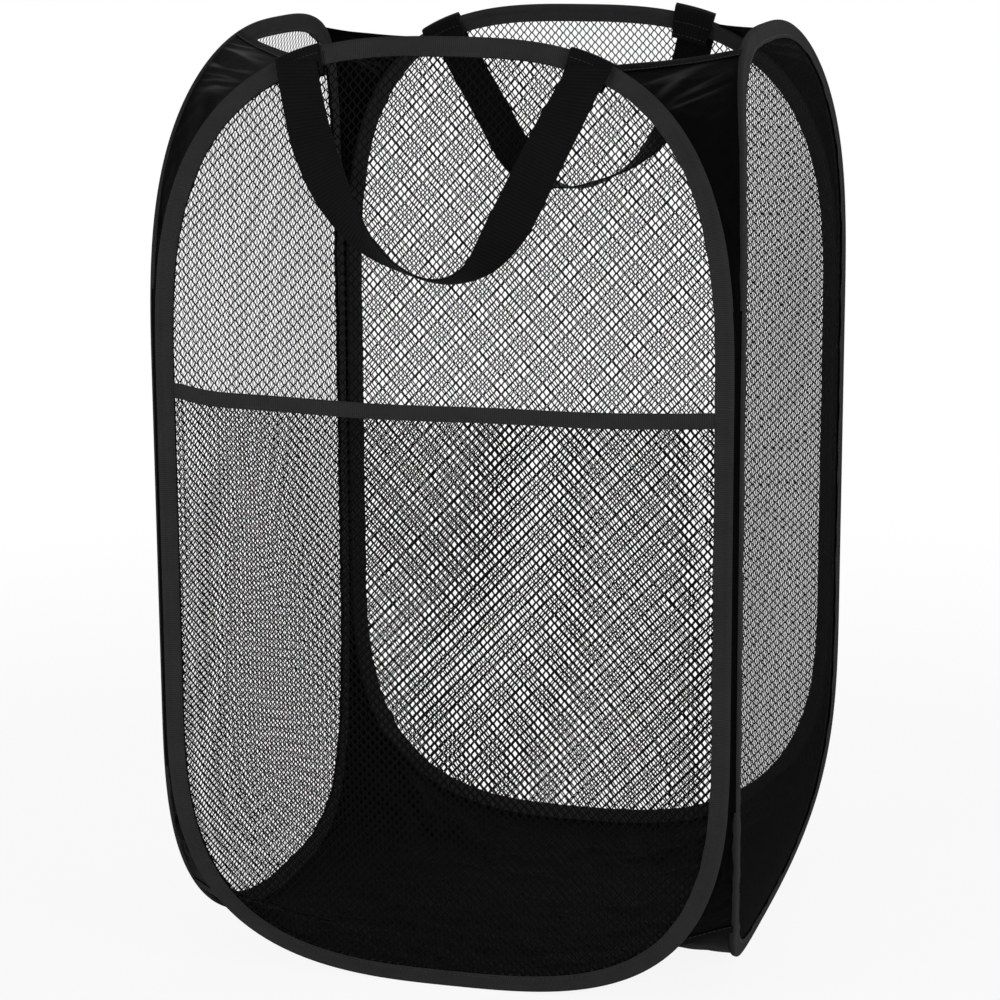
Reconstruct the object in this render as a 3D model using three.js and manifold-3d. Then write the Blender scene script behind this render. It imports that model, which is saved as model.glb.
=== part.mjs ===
// Pop-up laundry hamper: four netted panels, each stretched in a spring wire loop that runs inside
// a folded cloth binding. The loops are sewn edge to edge along four upright seams, cloth gussets
// close the rounded corners, a cloth floor closes the foot, the front panel has a net pocket, and a
// webbing handle hangs from the front rim and from the back rim.
//
// Millimetres, +Z up. The pocket faces -Y and the foot stands on Z = 0.

import * as THREE from 'three';
import { mergeVertices } from 'three/addons/utils/BufferGeometryUtils.js';
import Module from 'manifold-3d';

// Body
const SIDE = 356; // across two opposite panels
const HEIGHT = 570;
const TOP_RISE = 203; // height over which a loop rounds off at the top
const FOOT_RISE = 172; // the same at the foot
const TOP_LEAN = 22; // how far the top of a panel leans in
const FOOT_LEAN = 18;

// Bindings and what they hold
const BINDING_WIDTH = 11;
const BINDING_FOLD = 4.4; // thickness over the wire
const TAPE = 0.65; // one layer of binding tape
const WIRE = 1.6; // diameter
const SLEEVE = 2.6; // outer diameter of the crimp sleeve
const SLEEVE_LENGTH = 20;
const NET_THICKNESS = 0.5;
const GAP = 0.3; // between pieces that touch
const SEAM_GAP = 0.2; // between two loops along an upright seam

// Nets
const NET_PITCH = 86; // corner to corner of a whole gap
const NET_STRAND = 3;
const NET_GRIP = 3; // how deep a net's edge sits in its binding

// Pocket
const POCKET_TOP = 364; // upper edge of the pocket's strip
const POCKET_STRIP = 9; // height of that strip
const POCKET_BOW = 12; // how far the pocket stands off in the middle
const POCKET_SAG = 0.5; // how much lower its top edge is in the middle than at its ends

// Cloth corners and floor
const CLOTH = 0.8;
const FLOOR_CLOTH = 1;

// Handles
const WEBBING_WIDTH = 25;
const WEBBING = 1.2;
const HANDLE_SPAN = 174; // between the middles of a handle's two ends
const FRONT_HANDLE_DROP = 120;
const BACK_HANDLE_DROP = 108;
const BACK_HANDLE_SHIFT = 10; // how far the back handle is sewn on off the middle of its rim
const STRAP_END = 16; // length of a sewn end on each face of the rim
const HANDLE_GAP = 0.5; // between a handle and its sewn ends, so that it swings clear of them

// Shapes
const LOOP_POWER = 2.9; // 2 would round a loop off as an ellipse, more is squarer
const LEAN_POWER = 3.5;
const ARC_STEPS = 10; // stations along each quarter of a loop
const GUSSET_FIRST_STEP = 1;
const GUSSET_LAST_STEP = 6;
const GUSSET_ROWS = 4;
// How far some top gussets run on, in steps along the two loops that each joins
const GUSSET_HEM_STEPS = { front_right: [6.4, 7], back_right: [7, 6.7], front_left: [7, 6.4] };
const FLOOR_FLAT_SHARE = 0.64; // how much of the floor lies flat on the ground
const FLOOR_RING_SHARES = [FLOOR_FLAT_SHARE, 0.83, 1];
const STRIP_STEPS = 12;
const STRAP_STEPS = 26;

// A handle's route: shares of half its span and of its drop, from the left end to the right one
const ROUTE_SHARES = [
  [-1, 0],
  [-0.93, 0.19],
  [-0.84, 0.4],
  [-0.71, 0.59],
  [-0.46, 0.82],
  [-0.2, 0.94],
  [0.07, 1],
  [0.32, 0.94],
  [0.48, 0.78],
  [0.65, 0.52],
  [0.83, 0.25],
  [1, 0],
];
// The handle's quarter turns: share of the way along and share of a quarter turn
const TWIST_SHARES = [
  [0, 0],
  [0.18, 0],
  [0.27, 0.22],
  [0.36, 0.46],
  [0.48, 0.86],
  [0.56, 0.86],
  [0.64, 0.56],
  [0.72, 0.06],
  [1, 0],
];

// Finishes
const TAPE_CLOTH = { color: 0x2b2a2c, roughness: 0.75, metalness: 0 };
const NET_YARN = { color: 0x141415, roughness: 0.6, metalness: 0 };
const BODY_CLOTH = { color: 0x0c0c0d, roughness: 0.65, metalness: 0 };
const WEBBING_YARN = { color: 0x121213, roughness: 0.8, metalness: 0 };
const SPRING_STEEL = { color: 0x8d8f92, roughness: 0.35, metalness: 1 };
const SLEEVE_STEEL = { color: 0xa9abad, roughness: 0.4, metalness: 1 };

// Derived places
const PANEL_PLANE = SIDE / 2 - BINDING_FOLD / 2; // middle of a panel from the body's axis
const LOOP_HALF = SIDE / 2 - BINDING_FOLD - SEAM_GAP;
const TOP_START = HEIGHT - TOP_RISE;
const FOLD_HALF = BINDING_FOLD / 2;
const CAVITY_HALF = FOLD_HALF - TAPE;
const SLIT_HALF = NET_THICKNESS / 2 + GAP * 1.5;
const LEG_HALF = SLIT_HALF + TAPE;
const WIRE_DEPTH = TAPE + CAVITY_HALF; // wire's middle in from the loop's outer edge
const POCKET_STAND = SLIT_HALF + TAPE * 2 + GAP; // pocket's middle off the front net's middle
const QUARTER = Math.PI / 2;

const wasm = await Module();
wasm.setup();

/** Makes a mesh of one closed solid, turning its faces outward if they all face inward. */
function solid(name, positions, faces, finish) {
  let volume = 0;
  const [a, b, c] = [new THREE.Vector3(), new THREE.Vector3(), new THREE.Vector3()];
  for (const face of faces) {
    a.copy(positions[face[0]]);
    b.copy(positions[face[1]]);
    c.copy(positions[face[2]]);
    volume += a.dot(b.cross(c));
  }
  const order = volume < 0 ? [0, 2, 1] : [0, 1, 2];
  const geometry = new THREE.BufferGeometry();
  geometry.setAttribute(
    'position',
    new THREE.Float32BufferAttribute(positions.flatMap((p) => p.toArray()), 3),
  );
  geometry.setIndex(faces.flatMap((face) => order.map((i) => face[i])));
  geometry.computeVertexNormals();
  return finished(name, geometry, finish);
}

function finished(name, geometry, finish) {
  const mesh = new THREE.Mesh(geometry, new THREE.MeshStandardMaterial(finish));
  mesh.name = name;
  return mesh;
}

/** How far a panel leans in at height z, and how fast that grows with z. */
function lean(z) {
  const top = z > TOP_START;
  const rise = top ? TOP_RISE : FOOT_RISE;
  const beyond = top ? z - TOP_START : Math.max(FOOT_RISE - z, 0);
  const depth = (top ? TOP_LEAN : FOOT_LEAN) * (beyond / rise) ** LEAN_POWER;
  const slope = (LEAN_POWER * depth) / Math.max(beyond, Number.EPSILON);
  return { depth, slope: top ? slope : -slope };
}

/** A point of the front panel: u along it, z up, and m out along the panel's own normal. */
function onPanel(u, z, m) {
  const { depth, slope } = lean(z);
  const length = Math.hypot(1, slope);
  return new THREE.Vector3(u, depth - PANEL_PLANE - m / length, z + (m * slope) / length);
}

/** The outward normal of the front panel at height z. */
function panelNormal(z) {
  const { slope } = lean(z);
  return new THREE.Vector3(0, -1, slope).normalize();
}

/** A station on a loop's outer edge whose in-plane normal stands at an angle to the side. */
function loopStation(angle, rise, right, up) {
  const ratio = (Math.tan(angle) * rise) / LOOP_HALF;
  const q = angle >= QUARTER ? Infinity : ratio ** (1 / (LOOP_POWER - 1));
  const across = q === Infinity ? 0 : (1 + q ** LOOP_POWER) ** (-1 / LOOP_POWER);
  const along = q === Infinity ? 1 : q * across;
  return {
    u: right * LOOP_HALF * across,
    z: up > 0 ? TOP_START + rise * along : FOOT_RISE - rise * along,
    nu: right * (q === Infinity ? 0 : Math.cos(angle)),
    nz: up * Math.sin(angle),
  };
}

/** Angles of the stations along a quarter, closer together where a loop runs nearly straight. */
function arcAngle(step) {
  const t = step / ARC_STEPS;
  return QUARTER * t * t * (3 - 2 * t);
}

function quarterStations(right, up) {
  const rise = up > 0 ? TOP_RISE : FOOT_RISE;
  return Array.from({ length: ARC_STEPS + 1 }, (_, k) => loopStation(arcAngle(k), rise, right, up));
}

/** All stations of a loop: up the right side, over the top, down the left and along the foot. */
function loopStations() {
  return [
    ...quarterStations(1, 1).slice(0, -1),
    ...quarterStations(-1, 1).reverse(),
    ...quarterStations(-1, -1).slice(0, -1),
    ...quarterStations(1, -1).reverse(),
  ];
}

/** The station of a loop at a given distance u along the rim or the foot. */
function stationAt(u, up) {
  const rise = up > 0 ? TOP_RISE : FOOT_RISE;
  const across = Math.abs(u) / LOOP_HALF;
  const along = (1 - across ** LOOP_POWER) ** (1 / LOOP_POWER);
  const normal = new THREE.Vector2(
    across ** (LOOP_POWER - 1) / LOOP_HALF,
    along ** (LOOP_POWER - 1) / rise,
  ).normalize();
  return {
    u,
    z: up > 0 ? TOP_START + rise * along : FOOT_RISE - rise * along,
    nu: Math.sign(u) * normal.x,
    nz: up * normal.y,
  };
}

/** A point of a section: r in from the loop's outer edge, m out of the panel. */
function sectionPoint(station, [r, m]) {
  return onPanel(station.u - r * station.nu, station.z - r * station.nz, m);
}

/** Carries a section along stations; an open run gets a cap at both ends. */
function sweep(name, stations, section, finish, { closed = false, place = sectionPoint } = {}) {
  const count = section.length;
  const positions = stations.flatMap((station) => section.map((point) => place(station, point)));
  const faces = [];
  const runs = closed ? stations.length : stations.length - 1;
  for (let i = 0; i < runs; i += 1) {
    const [row, next] = [i * count, ((i + 1) % stations.length) * count];
    for (let j = 0; j < count; j += 1) {
      const k = (j + 1) % count;
      faces.push([row + j, next + j, next + k], [row + j, next + k, row + k]);
    }
  }
  if (!closed) {
    const outline = section.map(([x, y]) => new THREE.Vector2(x, y));
    const last = (stations.length - 1) * count;
    const clockwise = THREE.ShapeUtils.isClockWise(outline);
    for (const [a, b, c] of THREE.ShapeUtils.triangulateShape(outline, [])) {
      const [p, q] = clockwise ? [c, b] : [b, c];
      faces.push([a, p, q], [last + a, last + q, last + p]);
    }
  }
  return solid(name, positions, faces, finish);
}

/** A round section of a given diameter about a middle point. */
function roundSection([r, m], diameter, sides) {
  return Array.from({ length: sides }, (_, k) => {
    const angle = (k / sides) * Math.PI * 2;
    return [r + (diameter / 2) * Math.cos(angle), m + (diameter / 2) * Math.sin(angle)];
  });
}

/** The points on both faces of a sheet of even thickness about a grid of middle points. */
function sheet(grid, thickness) {
  const [rows, columns] = [grid.length, grid[0].length];
  const within = (i, count) => Math.min(Math.max(i, 0), count - 1);
  const at = (i, j) => grid[within(i, rows)][within(j, columns)];
  const normal = (i, j) => {
    const down = at(i + 1, j).clone().sub(at(i - 1, j));
    const across = at(i, j + 1).clone().sub(at(i, j - 1));
    return down.cross(across).normalize().multiplyScalar(thickness / 2);
  };
  const positions = [];
  for (const side of [1, -1]) {
    for (let i = 0; i < rows; i += 1) {
      for (let j = 0; j < columns; j += 1) {
        positions.push(at(i, j).clone().addScaledVector(normal(i, j), side));
      }
    }
  }
  return { positions, rows, columns, index: (side, i, j) => side * rows * columns + i * columns + j };
}

function quad(faces, a, b, c, d) {
  faces.push([a, b, c], [a, c, d]);
}

/** Closes a gusset's sheet with its two faces and its rim. */
function patch(name, grid, thickness, finish) {
  const { positions, rows, columns, index } = sheet(grid, thickness);
  const faces = [];
  for (let i = 0; i < rows - 1; i += 1) {
    for (let j = 0; j < columns - 1; j += 1) {
      quad(faces, index(0, i, j), index(0, i, j + 1), index(0, i + 1, j + 1), index(0, i + 1, j));
      quad(faces, index(1, i, j), index(1, i + 1, j), index(1, i + 1, j + 1), index(1, i, j + 1));
    }
  }
  for (let i = 0; i < rows - 1; i += 1) {
    quad(faces, index(0, i, 0), index(0, i + 1, 0), index(1, i + 1, 0), index(1, i, 0));
    const j = columns - 1;
    quad(faces, index(0, i + 1, j), index(0, i, j), index(1, i, j), index(1, i + 1, j));
  }
  for (let j = 0; j < columns - 1; j += 1) {
    quad(faces, index(0, 0, j + 1), index(0, 0, j), index(1, 0, j), index(1, 0, j + 1));
    const i = rows - 1;
    quad(faces, index(0, i, j), index(0, i, j + 1), index(1, i, j + 1), index(1, i, j));
  }
  return solid(name, positions, faces, finish);
}

/** Turns a point of the front panel onto the panel that stands a number of corners on. */
function turned(point, corners) {
  return point.applyAxisAngle(new THREE.Vector3(0, 0, 1), corners * QUARTER);
}

// Bindings, wires and sleeves

/** The folded tape in section: a round fold over the wire and two legs that grip the net. */
function bindingSection() {
  const shoulder = WIRE_DEPTH + CAVITY_HALF / 2;
  const waist = WIRE_DEPTH + CAVITY_HALF + TAPE;
  const fold = [
    [0, CAVITY_HALF / 2],
    [TAPE * 1.4, FOLD_HALF],
    [shoulder, FOLD_HALF],
    [waist + TAPE, LEG_HALF],
    [BINDING_WIDTH, LEG_HALF],
    [BINDING_WIDTH, SLIT_HALF],
    [waist, SLIT_HALF],
    [WIRE_DEPTH, CAVITY_HALF],
    [TAPE, CAVITY_HALF / 2],
  ];
  return [...fold, ...fold.map(([r, m]) => [r, -m]).reverse()];
}

function makeBinding(name) {
  return sweep(name, loopStations(), bindingSection(), TAPE_CLOTH, { closed: true });
}

function makeWire(name) {
  const section = roundSection([WIRE_DEPTH, 0], WIRE, 5);
  return sweep(name, loopStations(), section, SPRING_STEEL, { closed: true });
}

/** The crimp sleeve over the wire's joined ends, in the middle of the foot. */
function makeSleeve(name) {
  const bore = roundSection([WIRE_DEPTH, 0], (WIRE + SLEEVE) / 2, 8);
  const skin = roundSection([WIRE_DEPTH, 0], SLEEVE, 8);
  const ends = [-SLEEVE_LENGTH / 2, SLEEVE_LENGTH / 2].map((u) => stationAt(u, -1));
  const positions = ends.flatMap((end) => [...skin, ...bore].map((point) => sectionPoint(end, point)));
  const faces = [];
  const sides = skin.length;
  for (let j = 0; j < sides; j += 1) {
    const k = (j + 1) % sides;
    const [far, inner] = [2 * sides, sides];
    quad(faces, j, far + j, far + k, k);
    quad(faces, inner + k, far + inner + k, far + inner + j, inner + j);
    quad(faces, k, inner + k, inner + j, j);
    quad(faces, far + j, far + inner + j, far + inner + k, far + k);
  }
  return solid(name, positions, faces, SLEEVE_STEEL);
}

// Nets

/** A loop's outline, inset from its outer edge. */
function insetOutline(stations, inset) {
  return stations.map(({ u, z, nu, nz }) => new THREE.Vector2(u - inset * nu, z - inset * nz));
}

/** A flat plate of an outline, centred on its own middle plane. */
function plate(outline, thickness) {
  const settings = { depth: thickness, bevelEnabled: false };
  return new THREE.ExtrudeGeometry(new THREE.Shape(outline), settings).translate(0, 0, -thickness / 2);
}

/** A solid that can be cut and joined. */
function cuttable(geometry) {
  geometry.deleteAttribute('normal');
  geometry.deleteAttribute('uv');
  const merged = mergeVertices(geometry);
  return new wasm.Manifold(new wasm.Mesh({
    numProp: 3,
    vertProperties: merged.getAttribute('position').array,
    triVerts: new Uint32Array(merged.getIndex().array),
  }));
}

/** The gaps of a diamond net over a whole panel, thick enough to cut right through it. */
function netGaps() {
  const reach = NET_PITCH / 2 - NET_STRAND * Math.SQRT1_2;
  const diamond = [[reach, 0], [0, reach], [-reach, 0], [0, -reach]].map((at) => new THREE.Vector2(...at));
  const columns = Math.ceil(SIDE / NET_PITCH);
  const rows = Math.ceil(HEIGHT / NET_PITCH);
  let gaps;
  for (let i = -columns; i <= columns; i += 1) {
    for (let j = -rows; j <= rows; j += 1) {
      if ((i + j) % 2 === 0) {
        const [u, z] = [(i * NET_PITCH) / 2, (HEIGHT + j * NET_PITCH) / 2];
        const gap = cuttable(plate(diamond, NET_THICKNESS * 2).translate(u, z, 0));
        gaps = gaps ? gaps.add(gap) : gap;
      }
    }
  }
  return gaps;
}

/** A net: an outline less its gaps, which stop at a border, bent onto a panel by a placing function. */
function makeNet(name, outline, border, place) {
  const gaps = netGaps().intersect(cuttable(plate(border, NET_THICKNESS * 2)));
  const flat = cuttable(plate(outline, NET_THICKNESS)).subtract(gaps);
  const { vertProperties, triVerts, numProp } = flat.getMesh();
  const positions = [];
  for (let i = 0; i < vertProperties.length; i += numProp) {
    positions.push(place(vertProperties[i], vertProperties[i + 1], vertProperties[i + 2]));
  }
  const faces = [];
  for (let i = 0; i < triVerts.length; i += 3) faces.push([...triVerts.slice(i, i + 3)]);
  return solid(name, positions, faces, NET_YARN);
}

function makePanelNet(name) {
  const stations = loopStations();
  const outline = insetOutline(stations, BINDING_WIDTH - NET_GRIP);
  const border = insetOutline(stations, BINDING_WIDTH - NET_GRIP / 4);
  return makeNet(name, outline, border, onPanel);
}

// Pocket

/** How far the pocket stands off the front panel: most in the middle of its open top edge. */
function pocketStand(u, z) {
  const across = 1 - (u / pocketHalf()) ** 2;
  const up = Math.max(z - FOOT_RISE / 4, 0) / (POCKET_TOP - FOOT_RISE / 4);
  return POCKET_STAND + POCKET_BOW * Math.max(across, 0) * up;
}

function pocketHalf() {
  return LOOP_HALF - BINDING_WIDTH - GAP;
}

function onPocket(u, z, m) {
  return onPanel(u, z, pocketStand(u, z) + m);
}

/** The pocket's outline: the lower part of the panel inside its binding, with a top that sags a little. */
function pocketOutline(inset, top, sag = POCKET_SAG) {
  const half = pocketHalf() - inset;
  const foot = [...quarterStations(-1, -1).slice(0, -1), ...quarterStations(1, -1).reverse()];
  const edge = Array.from({ length: STRIP_STEPS + 1 }, (_, k) => {
    const across = 1 - (2 * k) / STRIP_STEPS;
    return new THREE.Vector2(half * across, top - sag * (1 - across * across));
  });
  return [...insetOutline(foot, BINDING_WIDTH + GAP + inset), ...edge];
}

function makePocketNet(name) {
  const outline = pocketOutline(0, POCKET_TOP - POCKET_STRIP / 3);
  const border = pocketOutline(NET_STRAND, POCKET_TOP - (POCKET_STRIP * 2) / 3, -POCKET_SAG);
  return makeNet(name, outline, border, onPocket);
}

/** The pocket's strip: tape folded down over the pocket net's top edge. */
function makePocketStrip(name) {
  const half = SLIT_HALF + TAPE;
  const roof = TAPE + GAP;
  const fold = [
    [0, half / 2],
    [TAPE, half],
    [POCKET_STRIP, half],
    [POCKET_STRIP, SLIT_HALF],
    [roof, SLIT_HALF],
  ];
  const section = [...fold, ...fold.map(([r, m]) => [r, -m]).reverse()];
  const edge = pocketOutline(0, POCKET_TOP).slice(-(STRIP_STEPS + 1));
  const stations = edge.map(({ x, y }) => ({ u: x, z: y }));
  const place = ({ u, z }, [r, m]) => onPocket(u, z - r, m);
  return sweep(name, stations, section, TAPE_CLOTH, { place });
}

// Corner gussets and floor

/** A point just off a loop's outer edge, where a corner's cloth is sewn on. */
function seamPoint(station) {
  return sectionPoint(station, [-(GAP + SEAM_GAP), 0]);
}

/** The gusset between the front panel and the right one, at the top or at the foot. */
function makeGusset(name, up, hem) {
  const rise = up > 0 ? TOP_RISE : FOOT_RISE;
  const rows = [];
  for (let k = GUSSET_FIRST_STEP; k <= GUSSET_LAST_STEP; k += 1) rows.push([k, k]);
  if (hem) rows.push(hem);
  const grid = rows.map(([near, far]) => {
    const front = seamPoint(loopStation(arcAngle(near), rise, 1, up));
    const side = turned(seamPoint(loopStation(arcAngle(far), rise, -1, up)), 1);
    return Array.from({ length: GUSSET_ROWS + 1 }, (_, j) => front.clone().lerp(side, j / GUSSET_ROWS));
  });
  return patch(name, grid, CLOTH, BODY_CLOTH);
}

/** The floor's rim over the front panel's foot, just inside its binding. */
function footEdge() {
  const last = loopStation(arcAngle(GUSSET_LAST_STEP), FOOT_RISE, 1, -1);
  const inside = -(FOLD_HALF + GAP);
  const points = [];
  for (let k = GUSSET_LAST_STEP; k <= ARC_STEPS; k += 1) {
    points.push(loopStation(arcAngle(k), FOOT_RISE, -1, -1));
  }
  for (let k = ARC_STEPS - 1; k >= GUSSET_LAST_STEP; k -= 1) {
    points.push(loopStation(arcAngle(k), FOOT_RISE, 1, -1));
  }
  return points.map((station) => {
    const spread = 1 + (BINDING_FOLD / 2 / last.u) * Math.abs(station.u / last.u);
    const { depth } = lean(station.z);
    return new THREE.Vector3(
      station.u * spread,
      depth - PANEL_PLANE - inside + GAP,
      station.z + GAP + FLOOR_CLOTH / 2,
    );
  });
}

/** The floor: flat on the ground in the middle and lifted along its rim to meet the loops. */
function makeFloor(name) {
  const rim = [0, 1, 2, 3].flatMap((corner) => footEdge().map((point) => turned(point, corner)));
  const grid = FLOOR_RING_SHARES.map((share) => {
    const lift = Math.max((share - FLOOR_FLAT_SHARE) / (1 - FLOOR_FLAT_SHARE), 0) ** 2;
    return rim.map(({ x, y, z }) =>
      new THREE.Vector3(x * share, y * share, FLOOR_CLOTH / 2 + (z - FLOOR_CLOTH / 2) * lift));
  });
  const columns = rim.length;
  const rows = grid.length;
  const positions = [];
  for (const side of [1, -1]) {
    for (const ring of grid) {
      for (const point of ring) {
        positions.push(point.clone().setZ(point.z + (side * FLOOR_CLOTH) / 2));
      }
    }
  }
  const centre = positions.length;
  positions.push(new THREE.Vector3(0, 0, FLOOR_CLOTH), new THREE.Vector3(0, 0, 0));
  const index = (side, i, j) => side * rows * columns + i * columns + ((j + columns) % columns);
  const faces = [];
  for (let j = 0; j < columns; j += 1) {
    faces.push([centre, index(0, 0, j), index(0, 0, j + 1)]);
    faces.push([centre + 1, index(1, 0, j + 1), index(1, 0, j)]);
    for (let i = 0; i < rows - 1; i += 1) {
      quad(faces, index(0, i, j), index(0, i + 1, j), index(0, i + 1, j + 1), index(0, i, j + 1));
      quad(faces, index(1, i, j), index(1, i, j + 1), index(1, i + 1, j + 1), index(1, i + 1, j));
    }
    const last = rows - 1;
    quad(faces, index(0, last, j), index(1, last, j), index(1, last, j + 1), index(0, last, j + 1));
  }
  return solid(name, positions, faces, BODY_CLOTH);
}

// Handles

/** A sewn end of webbing, folded over the rim so that it lies on both faces of the binding. */
function makeStrapEnd(name, u) {
  const near = FOLD_HALF + GAP;
  const far = near + WEBBING;
  const fold = [
    [-GAP - WEBBING, near / 2],
    [-GAP, far],
    [STRAP_END, far],
    [STRAP_END, near],
    [0, near],
    [-GAP, near / 2],
  ];
  const section = [...fold, ...fold.map(([r, m]) => [r, -m]).reverse()];
  const stations = [-1, -0.5, 0, 0.5, 1].map((share) => stationAt(u + (share * WEBBING_WIDTH) / 2, 1));
  return sweep(name, stations, section, WEBBING_YARN);
}

/** Where a handle bends: the height of its hinge line and its distance off the panel. */
function handleLine(shift) {
  const rim = stationAt(HANDLE_SPAN / 2 + shift, 1);
  const flat = WEBBING + HANDLE_GAP + WEBBING / 2;
  return { z: rim.z - BINDING_FOLD, stand: FOLD_HALF + GAP + flat };
}

function blendTable(table, t) {
  const k = table.findIndex(([at]) => at >= t);
  if (k <= 0) return table[0][1];
  const [[from, low], [to, high]] = [table[k - 1], table[k]];
  const s = (t - from) / (to - from);
  return low + (high - low) * s * s * (3 - 2 * s);
}

/** A handle: webbing that hangs in a loop and turns edge-on at the bottom of its drop. */
function makeHandle(name, drop, shift) {
  const { z: top, stand } = handleLine(shift);
  const route = new THREE.CatmullRomCurve3(ROUTE_SHARES.map(([across, down]) =>
    new THREE.Vector3(shift + (across * HANDLE_SPAN) / 2, 0, top - WEBBING - down * drop)));
  const positions = [];
  for (let i = 0; i <= STRAP_STEPS; i += 1) {
    const t = i / STRAP_STEPS;
    const point = route.getPointAt(t);
    const ahead = route.getTangentAt(t);
    const turn = QUARTER * blendTable(TWIST_SHARES, t);
    const level = Math.max(1 - 6 * Math.min(t, 1 - t), 0);
    const normal = panelNormal(point.z);
    const across = new THREE.Vector3(Math.sign(1 - 2 * t), 0, 0);
    const upward = normal.clone().cross(new THREE.Vector3(1, 0, 0));
    const flat = new THREE.Vector3(-ahead.z, 0, 0).addScaledVector(upward, ahead.x);
    flat.lerp(across, level).normalize();
    const width = flat.clone().multiplyScalar(Math.cos(turn)).addScaledVector(normal, Math.sin(turn));
    const face = flat.clone().multiplyScalar(-Math.sin(turn)).addScaledVector(normal, Math.cos(turn));
    const clear = stand + (WEBBING_WIDTH / 2) * Math.sin(turn);
    const middle = onPanel(point.x, point.z, clear);
    for (const [a, b] of [[-1, -1], [1, -1], [1, 1], [-1, 1]]) {
      positions.push(middle.clone()
        .addScaledVector(width, (a * WEBBING_WIDTH) / 2)
        .addScaledVector(face, (b * WEBBING) / 2));
    }
  }
  const faces = [];
  for (let i = 0; i < STRAP_STEPS; i += 1) {
    const [row, next] = [4 * i, 4 * i + 4];
    for (const j of [0, 1]) quad(faces, row + j, next + j, next + j + 1, row + j + 1);
    // The two broad faces split along the same diagonal, so that a twist can't push one through the other
    quad(faces, next + 2, next + 3, row + 3, row + 2);
    quad(faces, row + 3, next + 3, next, row);
  }
  const last = 4 * STRAP_STEPS;
  quad(faces, 0, 1, 2, 3);
  quad(faces, last + 3, last + 2, last + 1, last);
  return solid(name, positions, faces, WEBBING_YARN);
}

// The whole hamper

const PANELS = ['front', 'right', 'back', 'left'];
const CORNERS = ['front_right', 'back_right', 'back_left', 'front_left'];
const HANDLES = {
  front: { drop: FRONT_HANDLE_DROP, shift: 0 },
  back: { drop: BACK_HANDLE_DROP, shift: BACK_HANDLE_SHIFT },
};

/** One panel: the wire and its sleeve, the binding round them and the net that the binding grips. */
function makePanel(side) {
  const panel = new THREE.Group();
  panel.add(makeWire(`wire_loop_${side}`), makeSleeve(`crimp_sleeve_${side}`));
  panel.add(makeBinding(`binding_${side}`), makePanelNet(`net_${side}`));
  if (side === 'front') panel.add(makePocketNet('pocket_net'), makePocketStrip('pocket_strip'));
  return panel;
}

/** A panel's handle with its two sewn ends. */
function makeHandleSet(side) {
  const { drop, shift } = HANDLES[side];
  const set = new THREE.Group();
  set.add(makeHandle(`handle_${side}`, drop, shift));
  set.add(makeStrapEnd(`strap_end_${side}_left`, shift - HANDLE_SPAN / 2));
  set.add(makeStrapEnd(`strap_end_${side}_right`, shift + HANDLE_SPAN / 2));
  return set;
}

const hamper = new THREE.Group();
hamper.name = 'pop_up_laundry_hamper';
PANELS.forEach((side, corner) => {
  const quarter = new THREE.Group();
  quarter.rotation.z = corner * QUARTER;
  quarter.position.z = GAP;
  quarter.add(makePanel(side));
  if (side in HANDLES) quarter.add(makeHandleSet(side));
  quarter.add(makeGusset(`top_gusset_${CORNERS[corner]}`, 1, GUSSET_HEM_STEPS[CORNERS[corner]]));
  quarter.add(makeGusset(`foot_gusset_${CORNERS[corner]}`, -1));
  hamper.add(quarter);
});
hamper.add(makeFloor('floor_cloth'));

export default hamper;
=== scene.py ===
"""Looks of a pop-up laundry hamper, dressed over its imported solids.

Four netted panels, each held by a bound spring wire hoop, stand edge to edge round a cloth floor. Cloth
gussets close the rounded corners, the front panel has a net pocket, and a webbing handle hangs from the
front rim and from the back rim. Everything is in metres, +Z up, with the pocket facing -Y.
"""

import logging
import math
from collections.abc import Callable
from dataclasses import dataclass, field
from enum import Enum

import bpy
import numpy as np
from mathutils import Matrix, Vector, noise


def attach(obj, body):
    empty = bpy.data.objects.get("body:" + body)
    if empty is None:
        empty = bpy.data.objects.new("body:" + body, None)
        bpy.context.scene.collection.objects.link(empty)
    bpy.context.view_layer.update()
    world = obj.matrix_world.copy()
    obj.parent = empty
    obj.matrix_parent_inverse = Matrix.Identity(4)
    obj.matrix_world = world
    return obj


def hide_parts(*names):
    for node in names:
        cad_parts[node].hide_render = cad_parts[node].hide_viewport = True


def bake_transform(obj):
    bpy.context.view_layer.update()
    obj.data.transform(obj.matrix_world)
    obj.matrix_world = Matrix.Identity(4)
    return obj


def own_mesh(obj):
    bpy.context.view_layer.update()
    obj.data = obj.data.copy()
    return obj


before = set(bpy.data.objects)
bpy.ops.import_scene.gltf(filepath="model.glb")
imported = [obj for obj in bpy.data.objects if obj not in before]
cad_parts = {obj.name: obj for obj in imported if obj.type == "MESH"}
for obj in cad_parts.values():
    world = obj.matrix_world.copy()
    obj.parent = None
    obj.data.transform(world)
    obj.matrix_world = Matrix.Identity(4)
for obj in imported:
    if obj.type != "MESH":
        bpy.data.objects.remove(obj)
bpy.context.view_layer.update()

LOG = logging.getLogger("hamper")
Array = np.ndarray
Object = bpy.types.Object
Tree = bpy.types.NodeTree
Node = bpy.types.Node
Socket = bpy.types.NodeSocket
TAU = 2 * math.pi


class Named(Enum):
    """Values whose names are part of the nodes' names."""

    @property
    def word(self) -> str:
        """The name as the nodes spell it."""
        return self.name.lower()


class Side(Named):
    """The four panels, by how many quarter turns each stands from the front one."""

    FRONT = 0
    RIGHT = 1
    BACK = 2
    LEFT = 3

    @property
    def body(self) -> str:
        """The moving body that carries the panel."""
        return f"{self.word}_panel"


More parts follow.
